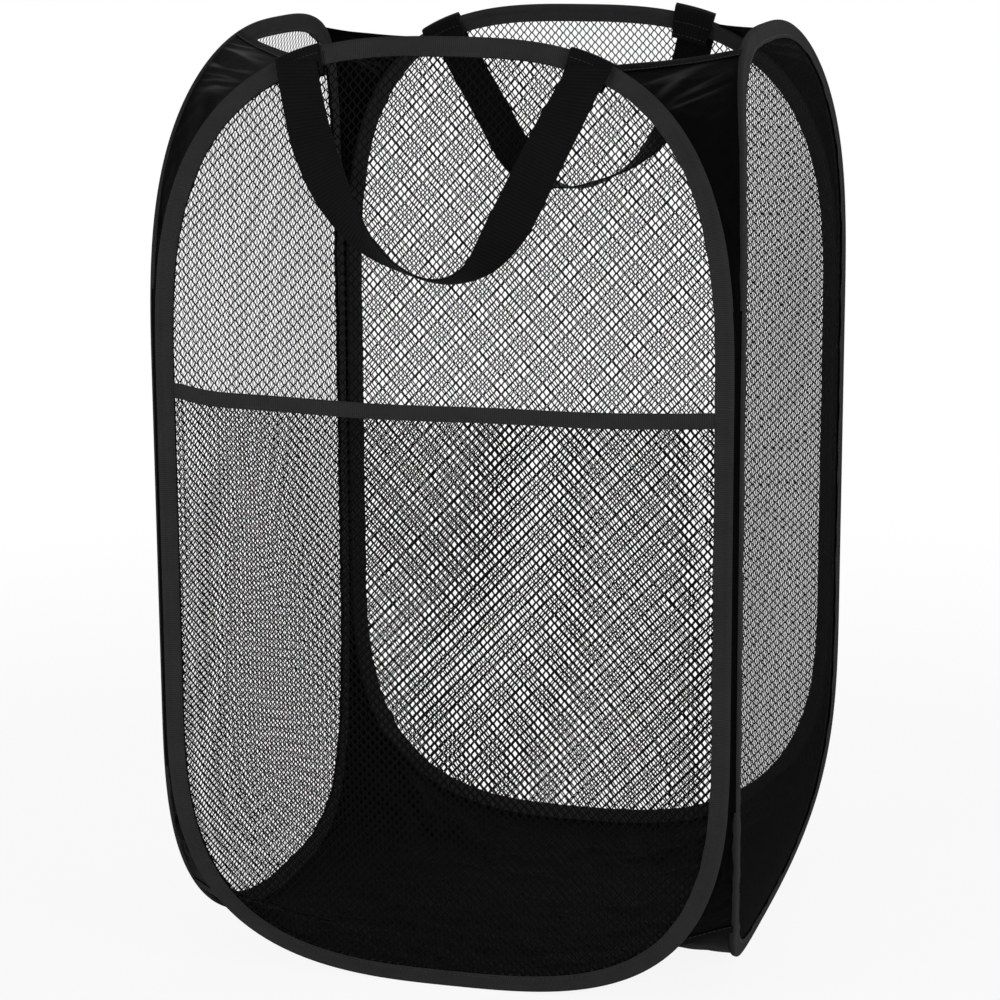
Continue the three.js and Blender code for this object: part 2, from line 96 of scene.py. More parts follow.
class Corner(Named):
    """The four corners, each between a panel and the next one round."""

    FRONT_RIGHT = 0
    BACK_RIGHT = 1
    BACK_LEFT = 2
    FRONT_LEFT = 3

    @property
    def sides(self) -> tuple[Side, Side]:
        """The panel before the corner and the panel after it."""
        return Side(self.value), Side((self.value + 1) % 4)


class End(Named):
    """The two rounded ends of a hoop."""

    TOP = 1
    FOOT = -1


# Numbers and places


def turned(points: Array, quarters: int) -> Array:
    """Turn points about the hamper's axis.

    Args:
        points: Points of the front panel, coordinates last.
        quarters: How many quarter turns to make.

    Returns:
        The points on the panel that stands there.
    """
    c, s = ((1, 0), (0, 1), (-1, 0), (0, -1))[quarters % 4]
    x, y, z = np.moveaxis(np.asarray(points, float), -1, 0)
    return np.stack([c * x - s * y, s * x + c * y, z], -1)


def eased(t: Array) -> Array:
    """A share from 0 to 1 that starts and ends gently."""
    t = np.clip(t, 0, 1)
    return t * t * (3 - 2 * t)


def hump(x: Array, width: float) -> Array:
    """A bell that is 1 at 0 and has nearly gone at twice its width."""
    return np.exp(-((x / width) ** 2))


def unit(vectors: Array) -> Array:
    """Vectors in the same directions, of length 1."""
    return vectors / np.maximum(np.linalg.norm(vectors, axis=-1, keepdims=True), 1e-12)


def normals(grid: Array) -> Array:
    """The unit normals of a grid of points."""
    return unit(np.cross(np.gradient(grid, axis=0), np.gradient(grid, axis=1)))


def ruled(before: Array, after: Array, columns: int) -> Array:
    """A grid of points on straight lines from one line of points to another."""
    share = np.linspace(0, 1, columns)[None, :, None]
    return before[:, None] * (1 - share) + after[:, None] * share


def lengths(points: Array) -> Array:
    """The distance run along a line of points, from 0 at the first."""
    steps = np.linalg.norm(np.diff(points, axis=0), axis=-1)
    return np.concatenate([[0.0], np.cumsum(steps)])


def calmed(values: Array, reach: int) -> Array:
    """Average each row of values with its neighbours, in a bell, and keep the two ends.

    Args:
        values: The rows.
        reach: How many rows to either side count.

    Returns:
        As many smoother rows.
    """
    start = 2 * values[:1] - values[reach:0:-1]
    stop = 2 * values[-1:] - values[-2:-reach - 2:-1]
    bell = hump(np.linspace(-2, 2, 2 * reach + 1), 1.0)
    padded = np.concatenate([start, values, stop])
    return np.stack([np.convolve(column, bell / bell.sum(), "valid") for column in padded.T], -1)


def rounded(points: Array, times: int) -> Array:
    """Round off an open line by cutting its corners.

    Args:
        points: The line's points.
        times: How often to cut.

    Returns:
        The rounded line, with the same two ends.
    """
    for _ in range(times):
        low, high = points[:-1], points[1:]
        cut = np.stack([low * 0.75 + high * 0.25, low * 0.25 + high * 0.75], 1)
        points = np.concatenate([points[:1], cut.reshape(-1, points.shape[1]), points[-1:]])
    return points


def mirrored(half: Array) -> Array:
    """The closed ring of a section whose second half mirrors the first."""
    return np.concatenate([half[:-1], (half * [1, -1])[::-1][:-1]])


def folded(skin: Array, inner: Array, times: int) -> Array:
    """The section of a folded tape.

    Args:
        skin: One half's outer face, from the fold to the edge.
        inner: Its inner face, from the edge back to the fold.
        times: How often to round both off.

    Returns:
        The closed ring round the tape.
    """
    return mirrored(np.concatenate([rounded(skin, times), rounded(inner, times)]))


@dataclass(frozen=True)
class Hoop:
    """The outline that all four panels share, as the solids have it."""

    side: float = 0.356
    height: float = 0.570
    top_rise: float = 0.203
    foot_rise: float = 0.172
    top_lean: float = 0.022
    foot_lean: float = 0.018
    lean_power: float = 3.5
    loop_power: float = 2.9
    fold: float = 0.0044
    seam_gap: float = 0.0002
    lift: float = 0.0003

    @property
    def plane(self) -> float:
        """How far the middle of a panel stands from the hamper's axis."""
        return self.side / 2 - self.fold / 2

    @property
    def half(self) -> float:
        """Half of a hoop's outer width."""
        return self.side / 2 - self.fold - self.seam_gap

    @property
    def top_start(self) -> float:
        """The height where the sides begin to round off at the top."""
        return self.height - self.top_rise

    def lean(self, z: Array) -> tuple[Array, Array]:
        """How far a panel leans in at height z, and how fast that grows.

        Args:
            z: Heights.

        Returns:
            The leans, and their slopes against the height.
        """
        p = self.lean_power
        up = np.clip(z - self.top_start, 0, None) / self.top_rise
        down = np.clip(self.foot_rise - z, 0, None) / self.foot_rise
        depth = self.top_lean * up**p + self.foot_lean * down**p
        slope = self.top_lean * p * up ** (p - 1) / self.top_rise
        return depth, slope - self.foot_lean * p * down ** (p - 1) / self.foot_rise

    def place(self, u: Array, z: Array, m: Array) -> Array:
        """Put points on the front panel.

        Args:
            u: Distance to the right along the panel.
            z: Height.
            m: Distance out along the panel's own normal.

        Returns:
            The points in space.
        """
        u, z, m = np.broadcast_arrays(*(np.asarray(v, float) for v in (u, z, m)))
        depth, slope = self.lean(z)
        run = np.hypot(1, slope)
        return np.stack([u, depth - self.plane - m / run, z + m * slope / run + self.lift], -1)

    def arc(self, angles: Array, right: int, end: End) -> Array:
        """Stations along one rounded quarter of the hoop's outer edge.

        Args:
            angles: The angles that the edge's normal makes with the side, from 0 to a quarter turn.
            right: 1 for the right half of the hoop and -1 for the left one.
            end: The rounded end.

        Returns:
            One row a station: u, z and the two parts of the normal in the panel.
        """
        rise = self.top_rise if end is End.TOP else self.foot_rise
        angles = np.clip(angles, 0, math.pi / 2 - 1e-7)
        n = self.loop_power
        q = (np.tan(angles) * rise / self.half) ** (1 / (n - 1))
        across = (1 + q**n) ** (-1 / n)
        start = self.top_start if end is End.TOP else self.foot_rise
        return np.stack([right * self.half * across, start + end.value * rise * q * across,
                         right * np.cos(angles), end.value * np.sin(angles)], -1)

    def loop(self, quarter: int, straight: int) -> Array:
        """Stations all the way round: over the top, down the left, along the foot and up the right.

        Args:
            quarter: How many stations a quarter turn has.
            straight: How many a straight side has.

        Returns:
            The stations, in order.
        """
        angles = eased(np.linspace(0, 1, quarter)) * math.pi / 2
        heights = np.linspace(self.top_start, self.foot_rise, straight)[1:-1, None]
        down = heights * [0, 1, 0, 0] + np.array([-self.half, 0, -1, 0])
        up = heights[::-1] * [0, 1, 0, 0] + np.array([self.half, 0, 1, 0])
        return np.concatenate([
            self.arc(angles, 1, End.TOP)[:-1], self.arc(angles, -1, End.TOP)[::-1], down,
            self.arc(angles, -1, End.FOOT)[:-1], self.arc(angles, 1, End.FOOT)[::-1], up])

    def width_at(self, z: Array, inset: float) -> Array:
        """Half of the width inside the hoop at height z, less an inset, and below 0 outside it.

        Args:
            z: Heights.
            inset: How far inside the hoop.

        Returns:
            The half widths.
        """
        angles = np.linspace(0, 1, 160) * math.pi / 2
        right = np.concatenate([self.arc(angles, 1, End.FOOT)[::-1], self.arc(angles, 1, End.TOP)])
        inner = right[:, :2] - inset * right[:, 2:]
        width = np.interp(z, inner[:, 1], inner[:, 0])
        return np.where((z > inner[0, 1]) & (z < inner[-1, 1]), width, -1.0)

    def rim_at(self, u: Array) -> Array:
        """Stations on the rim at distances u from its middle.

        Args:
            u: Distances from the rim's middle.

        Returns:
            The stations.
        """
        across = np.abs(u) / self.half
        along = (1 - across**self.loop_power) ** (1 / self.loop_power)
        normal = unit(np.stack([np.sign(u) * across ** (self.loop_power - 1) / self.half,
                                along ** (self.loop_power - 1) / self.top_rise], -1))
        return np.concatenate([np.stack([u, self.top_start + self.top_rise * along], -1), normal], -1)

    def across(self, stations: Array, r: Array, m: Array) -> Array:
        """Points that stand r in from the hoop's outer edge and m out of the panel."""
        return self.place(stations[..., 0] - r * stations[..., 2], stations[..., 1] - r * stations[..., 3], m)


HOOP = Hoop()


# Meshes


def linked(name: str, data: bpy.types.ID) -> Object:
    """Put a new object with this data in the scene.

    Args:
        name: Its name.
        data: A mesh, a camera's data or a lamp's.

    Returns:
        The object.
    """
    made = bpy.data.objects.new(name, data)
    bpy.context.scene.collection.objects.link(made)
    return made


def piece(name: str, points: Array, faces: list, uv: Array) -> Object:
    """Make a mesh object.

    Args:
        name: The object's name.
        points: Its corners.
        faces: Lists of corners, anticlockwise from outside.
        uv: Places on the cloth in metres, one for each corner of each face in turn.

    Returns:
        The new object, smooth shaded.
    """
    mesh = bpy.data.meshes.new(name)
    mesh.from_pydata(np.asarray(points, float).reshape(-1, 3).tolist(), [], faces)
    mesh.uv_layers.new(name="Cloth").data.foreach_set("uv", np.asarray(uv, np.float32).ravel())
    mesh.shade_smooth()
    mesh.validate()
    return linked(name, mesh)


def swept(name: str, rings: Array, closed: bool, along: Array, section: Array) -> Object:
    """Skin a row of equal rings.

    Args:
        name: The object's name.
        rings: The rings' points, rings first; each ring closes on itself.
        closed: Whether the last ring joins the first; otherwise both ends are capped.
        along: The distance on the cloth to each ring, and back to the first one if they close.
        section: The flat section that the rings were made from.

    Returns:
        The closed piece, facing out.
    """
    count, size = rings.shape[:2]
    i, j = (a.ravel() for a in np.meshgrid(np.arange(count if closed else count - 1), np.arange(size),
                                          indexing="ij"))
    far, k = (i + 1) % count, (j + 1) % size
    quads = np.stack([i * size + j, far * size + j, far * size + k, i * size + k], -1)
    around = lengths(np.concatenate([section, section[:1]]))
    uv = np.stack([along[np.stack([i, i + 1, i + 1, i], -1)], around[np.stack([j, j, j + 1, j + 1], -1)]], -1)
    faces, uv = quads.tolist(), uv.reshape(-1, 2)
    if not closed:
        faces += [list(range(size)), list(range((count - 1) * size, count * size))[::-1]]
        uv = np.concatenate([uv, np.zeros((2 * size, 2))])
    return outward(piece(name, rings, faces, uv))


def outward(made: Object) -> Object:
    """Turn a closed piece's faces outward if its volume comes out below 0.

    Args:
        made: The piece, closed.

    Returns:
        The same piece.
    """
    mesh = made.data
    mesh.calc_loop_triangles()
    co = np.empty(len(mesh.vertices) * 3)
    mesh.vertices.foreach_get("co", co)
    corner = np.empty(len(mesh.loop_triangles) * 3, int)
    mesh.loop_triangles.foreach_get("vertices", corner)
    a, b, c = np.moveaxis(co.reshape(-1, 3)[corner.reshape(-1, 3)], 1, 0)
    if np.einsum("ij,ij->i", a, np.cross(b, c)).sum() < 0:
        mesh.flip_normals()
    return made


def sheeted(name: str, grid: Array, thickness: float) -> Object:
    """Give a grid of middle points an even thickness and close its four edges.

    Args:
        name: The object's name.
        grid: Middle points, rows first.
        thickness: The cloth's thickness.

    Returns:
        The closed sheet, facing out.
    """
    rows, columns = grid.shape[:2]
    lift = normals(grid) * (thickness / 2)
    points = np.stack([grid + lift, grid - lift])
    index = np.arange(points[..., 0].size).reshape(2, rows, columns)
    down, over = (np.linalg.norm(np.diff(grid, axis=axis), axis=-1) for axis in (0, 1))
    along = np.concatenate([np.zeros((1, columns)), np.cumsum(down, 0)])
    across = np.concatenate([np.zeros((rows, 1)), np.cumsum(over, 1)], 1)
    cloth = np.stack([across, along], -1).reshape(-1, 2)
    top, low = index
    quads = [np.stack([top[:-1, :-1], top[:-1, 1:], top[1:, 1:], top[1:, :-1]], -1),
             np.stack([low[:-1, :-1], low[1:, :-1], low[1:, 1:], low[:-1, 1:]], -1)]
    for edge_top, edge_low in ((top[:, 0], low[:, 0]), (top[-1], low[-1]),
                               (top[::-1, -1], low[::-1, -1]), (top[0, ::-1], low[0, ::-1])):
        quads.append(np.stack([edge_top[:-1], edge_top[1:], edge_low[1:], edge_low[:-1]], -1))
    faces = np.concatenate([q.reshape(-1, 4) for q in quads])
    uv = cloth[faces.ravel() % (rows * columns)]
    return outward(piece(name, points, faces.tolist(), uv))


def wired(name: str, lines: list[Array]) -> Object:
    """Make a mesh of bare edges, one run for each line of points.

    Args:
        name: Its name.
        lines: Each line's points.

    Returns:
        The object.
    """
    points = np.concatenate(lines)
    starts = np.cumsum([0] + [len(line) for line in lines])
    edges = [(i, i + 1) for low, high in zip(starts[:-1], starts[1:]) for i in range(low, high - 1)]
    mesh = bpy.data.meshes.new(name)
    mesh.from_pydata(points.tolist(), edges, [])
    return linked(name, mesh)


def node(tree: Tree, kind: str, inputs: dict | None = None, **settings: object) -> Node:
    """Add a node with its settings and links.

    Args:
        tree: The tree to add it to.
        kind: The node's type.
        inputs: A value, another node's socket or a node, for its first output, by each input's name or number.
        **settings: The node's own properties.

    Returns:
        The new node.
    """
    made = tree.nodes.new(kind)
    for key, value in settings.items():
        setattr(made, key, value)
    for key, value in (inputs or {}).items():
        if isinstance(value, (Node, Socket)):
            tree.links.new(value.outputs[0] if isinstance(value, Node) else value, made.inputs[key])
        else:
            made.inputs[key].default_value = value
    return made


def emptied(owner: bpy.types.ID) -> Tree:
    """The cleared node tree of a material or a world.

    Args:
        owner: The material or world.

    Returns:
        Its tree.
    """
    owner.use_nodes = True
    owner.node_tree.nodes.clear()
    return owner.node_tree


@dataclass(frozen=True)
class NodeTool:
    """A geometry node tree with named sizes, and how to run it once and keep the result."""

    name: str
    sizes: tuple[tuple[str, str], ...]

    def tree(self) -> Tree:
        """The tool's tree, which is made and filled the first time.

        Returns:
            The tree.
        """
        found = bpy.data.node_groups.get(self.name)
        if found:
            return found
        tree = bpy.data.node_groups.new(self.name, "GeometryNodeTree")
        tree.interface.new_socket("Geometry", in_out="INPUT", socket_type="NodeSocketGeometry")
        for label, kind in self.sizes:
            tree.interface.new_socket(label, in_out="INPUT", socket_type=kind)
        tree.interface.new_socket("Geometry", in_out="OUTPUT", socket_type="NodeSocketGeometry")
        last = self.fill(tree, node(tree, "NodeGroupInput").outputs)
        real = node(tree, "GeometryNodeRealizeInstances", {0: last})
        smooth = node(tree, "GeometryNodeSetShadeSmooth", {0: real})
        dressed = node(tree, "GeometryNodeSetMaterial", {
            "Geometry": smooth, "Material": tree.nodes["Group Input"].outputs["Finish"]})
        node(tree, "NodeGroupOutput", {"Geometry": dressed})
        return tree

    def run(self, made: Object, values: dict) -> Object:
        """Run the tree on an object and keep the result as its mesh.

        Args:
            made: The object whose mesh goes in.
            values: The tree's inputs by their labels.

        Returns:
            The same object with its new mesh and no modifier.
        """
        tree = self.tree()
        modifier = made.modifiers.new(self.name, "NODES")
        modifier.node_group = tree
        for item in tree.interface.items_tree:
            if item.in_out == "INPUT" and item.name in values:
                modifier[item.identifier] = values[item.name]
        graph = bpy.context.evaluated_depsgraph_get()
        mesh = bpy.data.meshes.new_from_object(made.evaluated_get(graph))
        made.modifiers.remove(modifier)
        made.data = mesh
        mesh.name = made.name
        return made


class FlatKnit(NodeTool):
    """Sweeps a flattened yarn along bare edges that lie level, with its width level too."""

    def __init__(self) -> None:
        """Name the tree and its sizes."""
        super().__init__("flat_knit", (("Yarn Width", "NodeSocketFloat"), ("Yarn Thickness", "NodeSocketFloat"),
                                       ("Sides", "NodeSocketInt"), ("Finish", "NodeSocketMaterial")))

    def make(self, name: str, lines: list[Array], width: float, thickness: float,
             finish: bpy.types.Material) -> Object:
        """Make yarn along lines.

        Args:
            name: The object's name.
            lines: The yarns' centre lines, each point with z at 0.
            width: The yarn's width, in the level plane.
            thickness: The yarn's thickness.
            finish: Its material.

        Returns:
            One piece with every yarn in it.
        """
        return self.run(wired(name, lines), {"Yarn Width": width, "Yarn Thickness": thickness, "Sides": 4,
                                             "Finish": finish})

    @staticmethod
    def fill(tree: Tree, given: bpy.types.NodeOutputs) -> Node:
        """Fill the tree: a flattened ring, swept along curves whose normals lie level.

        Args:
            tree: The tool's tree.
            given: The sizes' sockets and the curve's.

        Returns:
            The last node.
        """
        scale = node(tree, "ShaderNodeCombineXYZ", {
            0: given["Yarn Width"], 1: given["Yarn Thickness"], 2: 1.0})
        ring = node(tree, "GeometryNodeCurvePrimitiveCircle", {"Resolution": given["Sides"], "Radius": 0.5})
        flat = node(tree, "GeometryNodeTransform", {"Geometry": ring, "Scale": scale})
        curve = node(tree, "GeometryNodeMeshToCurve", {"Mesh": given["Geometry"]})
        level = node(tree, "GeometryNodeSetCurveNormal", {"Curve": curve}, mode="Z_UP")
        return node(tree, "GeometryNodeCurveToMesh", {
            "Curve": level, "Profile Curve": flat, "Fill Caps": True})


class StitchRow(NodeTool):
    """Lays lockstitches end to end along bare edges."""

    def __init__(self) -> None:
        """Name the tree and its sizes."""
        super().__init__("stitch_row", (("Pitch", "NodeSocketFloat"), ("Stitch Length", "NodeSocketFloat"),
                                        ("Thread Diameter", "NodeSocketFloat"), ("Wander", "NodeSocketFloat"),
                                        ("Seed", "NodeSocketInt"), ("Finish", "NodeSocketMaterial")))

    def make(self, name: str, lines: list[Array], seed: int, pitch: float = 0.0031, length: float = 0.0025,
             slot: str = "tape_cloth") -> Object:
        """Make a row of stitches in sewing thread along each line.

        Args:
            name: The object's name.
            lines: The rows' lines.
            seed: The seed of the stitches' small turns.
            pitch: From one stitch to the next.
            length: A stitch's length.
            slot: Not used.

        Returns:
            One piece with every stitch in it.
        """
        made = self.run(wired(name, lines), {
            "Pitch": pitch, "Stitch Length": length, "Thread Diameter": 0.00042, "Wander": 0.09, "Seed": seed,
            "Finish": THREAD.material()})
        return made

    @staticmethod
    def fill(tree: Tree, given: bpy.types.NodeOutputs) -> Node:
        """Fill the tree: points along the curve, a small spindle on each, turned along the row.

        Args:
            tree: The tool's tree.
            given: The sizes' sockets and the curve's.

        Returns:
            The last node.
        """
        curve = node(tree, "GeometryNodeMeshToCurve", {"Mesh": given["Geometry"]})
        even = node(tree, "GeometryNodeResampleCurve", {"Curve": curve, "Length": given["Pitch"]}, mode="LENGTH")
        ball = node(tree, "GeometryNodeMeshUVSphere", {"Segments": 5, "Rings": 4, "Radius": 0.5})
        tangent = node(tree, "GeometryNodeInputTangent")
        turn = node(tree, "FunctionNodeAlignRotationToVector", {"Vector": tangent}, axis="Z")
        least = node(tree, "ShaderNodeMath", {0: given["Wander"], 1: -1.0}, operation="MULTIPLY")
        lows = node(tree, "ShaderNodeCombineXYZ", {0: least, 1: least})
        highs = node(tree, "ShaderNodeCombineXYZ", {0: given["Wander"], 1: given["Wander"]})
        wander = node(tree, "FunctionNodeRandomValue", {
            "Min": lows, "Max": highs, "Seed": given["Seed"]}, data_type="FLOAT_VECTOR")
        tilt = node(tree, "FunctionNodeRotateRotation", {"Rotation": turn, "Rotate By": wander},
                    rotation_space="LOCAL")
        size = node(tree, "ShaderNodeCombineXYZ", {
            0: given["Thread Diameter"], 1: given["Thread Diameter"], 2: given["Stitch Length"]})
        return node(tree, "GeometryNodeInstanceOnPoints", {
            "Points": even, "Instance": ball, "Rotation": tilt, "Scale": size})


KNITTING = FlatKnit()
STITCHES = StitchRow()


# Finishes


def linear(colour: str) -> tuple[float, float, float, float]:
    """Turn an sRGB hex colour to linear light, with full opacity.

    Args:
        colour: The colour, as #rrggbb.

    Returns:
        Red, green, blue and opacity.
    """
    parts = [int(colour[i:i + 2], 16) / 255 for i in (1, 3, 5)]
    r, g, b = (c / 12.92 if c <= 0.04045 else ((c + 0.055) / 1.055) ** 2.4 for c in parts)
    return r, g, b, 1.0


@dataclass(frozen=True)
class Finish:
    """A surface: two colours it varies between, and how it shines."""

    name: str
    colour: str
    second: str
    roughness: float
    slot: str
    metallic: float = 0.0
    specular: float = 0.5
    sheen: float = 0.0

    def mottled(self, tree: Tree, place: Socket, scale: float) -> Socket:
        """A colour that wanders between the two colours in patches of about 1/scale metres.

        Args:
            tree: The node tree.
            place: The point on the object.
            scale: The noise's scale.

        Returns:
            The colour.
        """
        cloud = node(tree, "ShaderNodeTexNoise", {"Vector": place, "Scale": scale, "Detail": 4.0})
        return node(tree, "ShaderNodeMix", {0: cloud, "A": linear(self.colour),
                                            "B": linear(self.second)}, data_type="RGBA").outputs["Result"]

    def material(self) -> bpy.types.Material:
        """The finish's material, which is made the first time.

        Returns:
            The material.
        """
        found = bpy.data.materials.get(self.name)
        if found:
            return found
        made = bpy.data.materials.new(self.name)
        tree = emptied(made)
        place = node(tree, "ShaderNodeTexCoord").outputs["Object"]
        shader = node(tree, "ShaderNodeBsdfPrincipled", {
            "Metallic": self.metallic, "Roughness": self.roughness, "Specular IOR Level": self.specular,
            "Sheen Weight": self.sheen, **self.face(tree, place)})
        node(tree, "ShaderNodeOutputMaterial", {"Surface": shader})
        return made

    def face(self, tree: Tree, place: Socket) -> dict[str, Node | Socket]:
        """What goes into the shader's colour, and into its normal where the surface has a relief.

        Args:
            tree: The material's tree.
            place: The point on the object.

        Returns:
            Nodes and sockets by the names of the shader's inputs.
        """
        return {"Base Color": self.mottled(tree, place, 240.0)}

    @staticmethod
    def threads(tree: Tree, *pitches: float) -> list[Node]:
        """Waves from 0 to 1 that repeat every so many metres of the cloth's UV map, along it and across it.

        Args:
            tree: The node tree.
            *pitches: The waves' lengths, first along the cloth and then across it.

        Returns:
            One node for each wave.
        """
        cloth = node(tree, "ShaderNodeUVMap", uv_map="Cloth")
        split = node(tree, "ShaderNodeSeparateXYZ", {0: cloth})
        waves = []
        for distance, pitch in zip(split.outputs, pitches):
            turn = node(tree, "ShaderNodeMath", {0: distance, 1: TAU / pitch}, operation="MULTIPLY")
            sine = node(tree, "ShaderNodeMath", {0: turn}, operation="SINE")
            waves.append(node(tree, "ShaderNodeMath", {0: sine, 1: 0.5, 2: 0.5}, operation="MULTIPLY_ADD"))
        return waves


@dataclass(frozen=True)
class Ribbed(Finish):
    """Woven tape: ribs run across it, and fine warp threads along it."""

    rib: float = 0.0012
    warp: float = 0.0007
    depth: float = 0.00012
    # How much the painted shade darkens the grooves between ribs.
    band: float = 0.35

    def face(self, tree: Tree, place: Socket) -> dict[str, Node | Socket]:
        """Draw ribs across the tape and threads along it, with painted shade in the groove between two ribs.

        Args:
            tree: The node tree.
            place: The point on the object.

        Returns:
            The colour and the normal.
        """
        wobble = node(tree, "ShaderNodeTexNoise", {"Vector": place, "Scale": 900.0, "Detail": 2.0})
        ribs, warps = self.threads(tree, self.rib, self.warp)
        weave = node(tree, "ShaderNodeMath", {0: warps, 1: 0.35, 2: ribs}, operation="MULTIPLY_ADD")
        rough = node(tree, "ShaderNodeMath", {0: wobble, 1: 0.8, 2: weave}, operation="MULTIPLY_ADD")
        bump = node(tree, "ShaderNodeBump", {"Height": rough, "Distance": self.depth, "Strength": 1.0})
        # Painted shade: the colour darkens in the grooves where the ribs' relief is lowest.
        shade = node(tree, "ShaderNodeMath", {0: ribs, 1: self.band, 2: 1 - self.band}, operation="MULTIPLY_ADD")
        dark = node(tree, "ShaderNodeVectorMath", {0: self.mottled(tree, place, 60.0), "Scale": shade},
                    operation="SCALE")
        return {"Base Color": dark, "Normal": bump}


@dataclass(frozen=True)
class Taffeta(Finish):
    """Plain woven cloth with soft creases, and a painted highlight along their crests."""

    thread: float = 0.0009
    depth: float = 0.00025
    # The painted highlight's colour, laid along the creases' crests.
    crease_highlight: str = "#6e6e70"

    def face(self, tree: Tree, place: Socket) -> dict[str, Node | Socket]:
        """Draw a fine weave, and creases with a painted highlight along their crests.

        Args:
            tree: The node tree.
            place: The point on the object.

        Returns:
            The colour and the normal.
        """
        warps, wefts = self.threads(tree, self.thread, self.thread)
        weave = node(tree, "ShaderNodeMath", {0: warps, 1: wefts}, operation="MULTIPLY")
        creases = node(tree, "ShaderNodeTexNoise", {
            "Vector": place, "Scale": 45.0, "Detail": 5.0, "Roughness": 0.62, "Distortion": 0.6})
        height = node(tree, "ShaderNodeMath", {0: creases, 1: 6.0, 2: weave}, operation="MULTIPLY_ADD")
        bump = node(tree, "ShaderNodeBump", {"Height": height, "Distance": self.depth, "Strength": 0.8})
        # Painted highlight: the gusset's crease attribute pales the colour along the crests.
        crest = node(tree, "ShaderNodeAttribute", attribute_name="Crease")
        highlit_crease = node(tree, "ShaderNodeMix", {0: crest.outputs["Fac"], "A": self.mottled(tree, place, 30.0),
                                            "B": linear(self.crease_highlight)}, data_type="RGBA")
        return {"Base Color": highlit_crease.outputs["Result"], "Normal": bump}


# Grosgrain polyester tape: dense cross ribs that catch a dull charcoal sheen. Its true ribs of about
# 0.5 mm are drawn at 1.2 mm, so that they show.
BINDING_TAPE = Ribbed("grosgrain_polyester_tape", "#2b2b2b", "#373737", 0.85, "tape_cloth", specular=0.0,
                      sheen=0.04)
# Polypropylene webbing: flat coarse ribs, black and nearly matt, grey where light grazes them.
WEBBING = Ribbed("woven_polypropylene_webbing", "#0a0a0b", "#121214", 0.75, "webbing", specular=0.05,
                 rib=0.0021, warp=0.0014, depth=0.00025, band=0.5)
# Warp-knitted polyester net yarn: smooth round black filament bundles with a soft highlight.
NET_YARN = Finish("knitted_polyester_net_yarn", "#070707", "#101010", 0.8, "net_yarn", specular=0.04)
# Nylon taffeta: thin, tightly woven, very black, with a faint painted highlight along its creases.
BODY_CLOTH = Taffeta("black_nylon_taffeta", "#030304", "#070708", 0.6, "body_cloth", specular=0.01)
# Spun polyester sewing thread: a shade lighter than the tape, so that a row of stitches reads.
THREAD = Finish("spun_polyester_thread", "#292929", "#353535", 0.6, "tape_cloth", specular=0.12)
# Drawn spring steel: bright grey with a fine drawn grain.
SPRING_STEEL = Finish("drawn_spring_steel", "#9a9c9f", "#83868a", 0.32, "spring_steel", metallic=1.0)
# Zinc-plated crimp sleeve: a duller, slightly blue grey.
SLEEVE_ZINC = Finish("zinc_plated_steel", "#a7abb0", "#8f949a", 0.42, "sleeve_steel", metallic=1.0)


THREAD_STAND = 0.0002  # how far a stitch's middle stands off the cloth


def dress(made: Object, finish: Finish) -> Object:
    """Give a piece its finish.

    Args:
        made: The piece.
        finish: Its finish.

    Returns:
        The same piece.
    """
    made.data.materials.clear()
    made.data.materials.append(finish.material())
    return made


def rows_off(stations: Array, depths: tuple[float, ...], stand: float, side: Side) -> list[Array]:
    """Rows of stitches on both faces of a sewn edge.

    Args:
        stations: Stations on the hoop.
        depths: How far in from the hoop's outer edge each pair of rows runs.
        stand: How far the cloth's face stands off the panel's middle.
        side: The panel.

    Returns:
        One line of points for each row.
    """
    return [turned(HOOP.across(stations, depth, face * (stand + THREAD_STAND)), side.value)
            for depth in depths for face in (1, -1)]


def noise_at(points: Array, scale: float, seed: float) -> Array:
    """Smooth noise from about -1 to 1 at points, in patches of about 1/scale metres."""
    flat = np.asarray(points, float).reshape(-1, 3) * scale + seed
    return np.array([noise.noise(Vector(p)) for p in flat]).reshape(np.shape(points)[:-1])


# Pieces


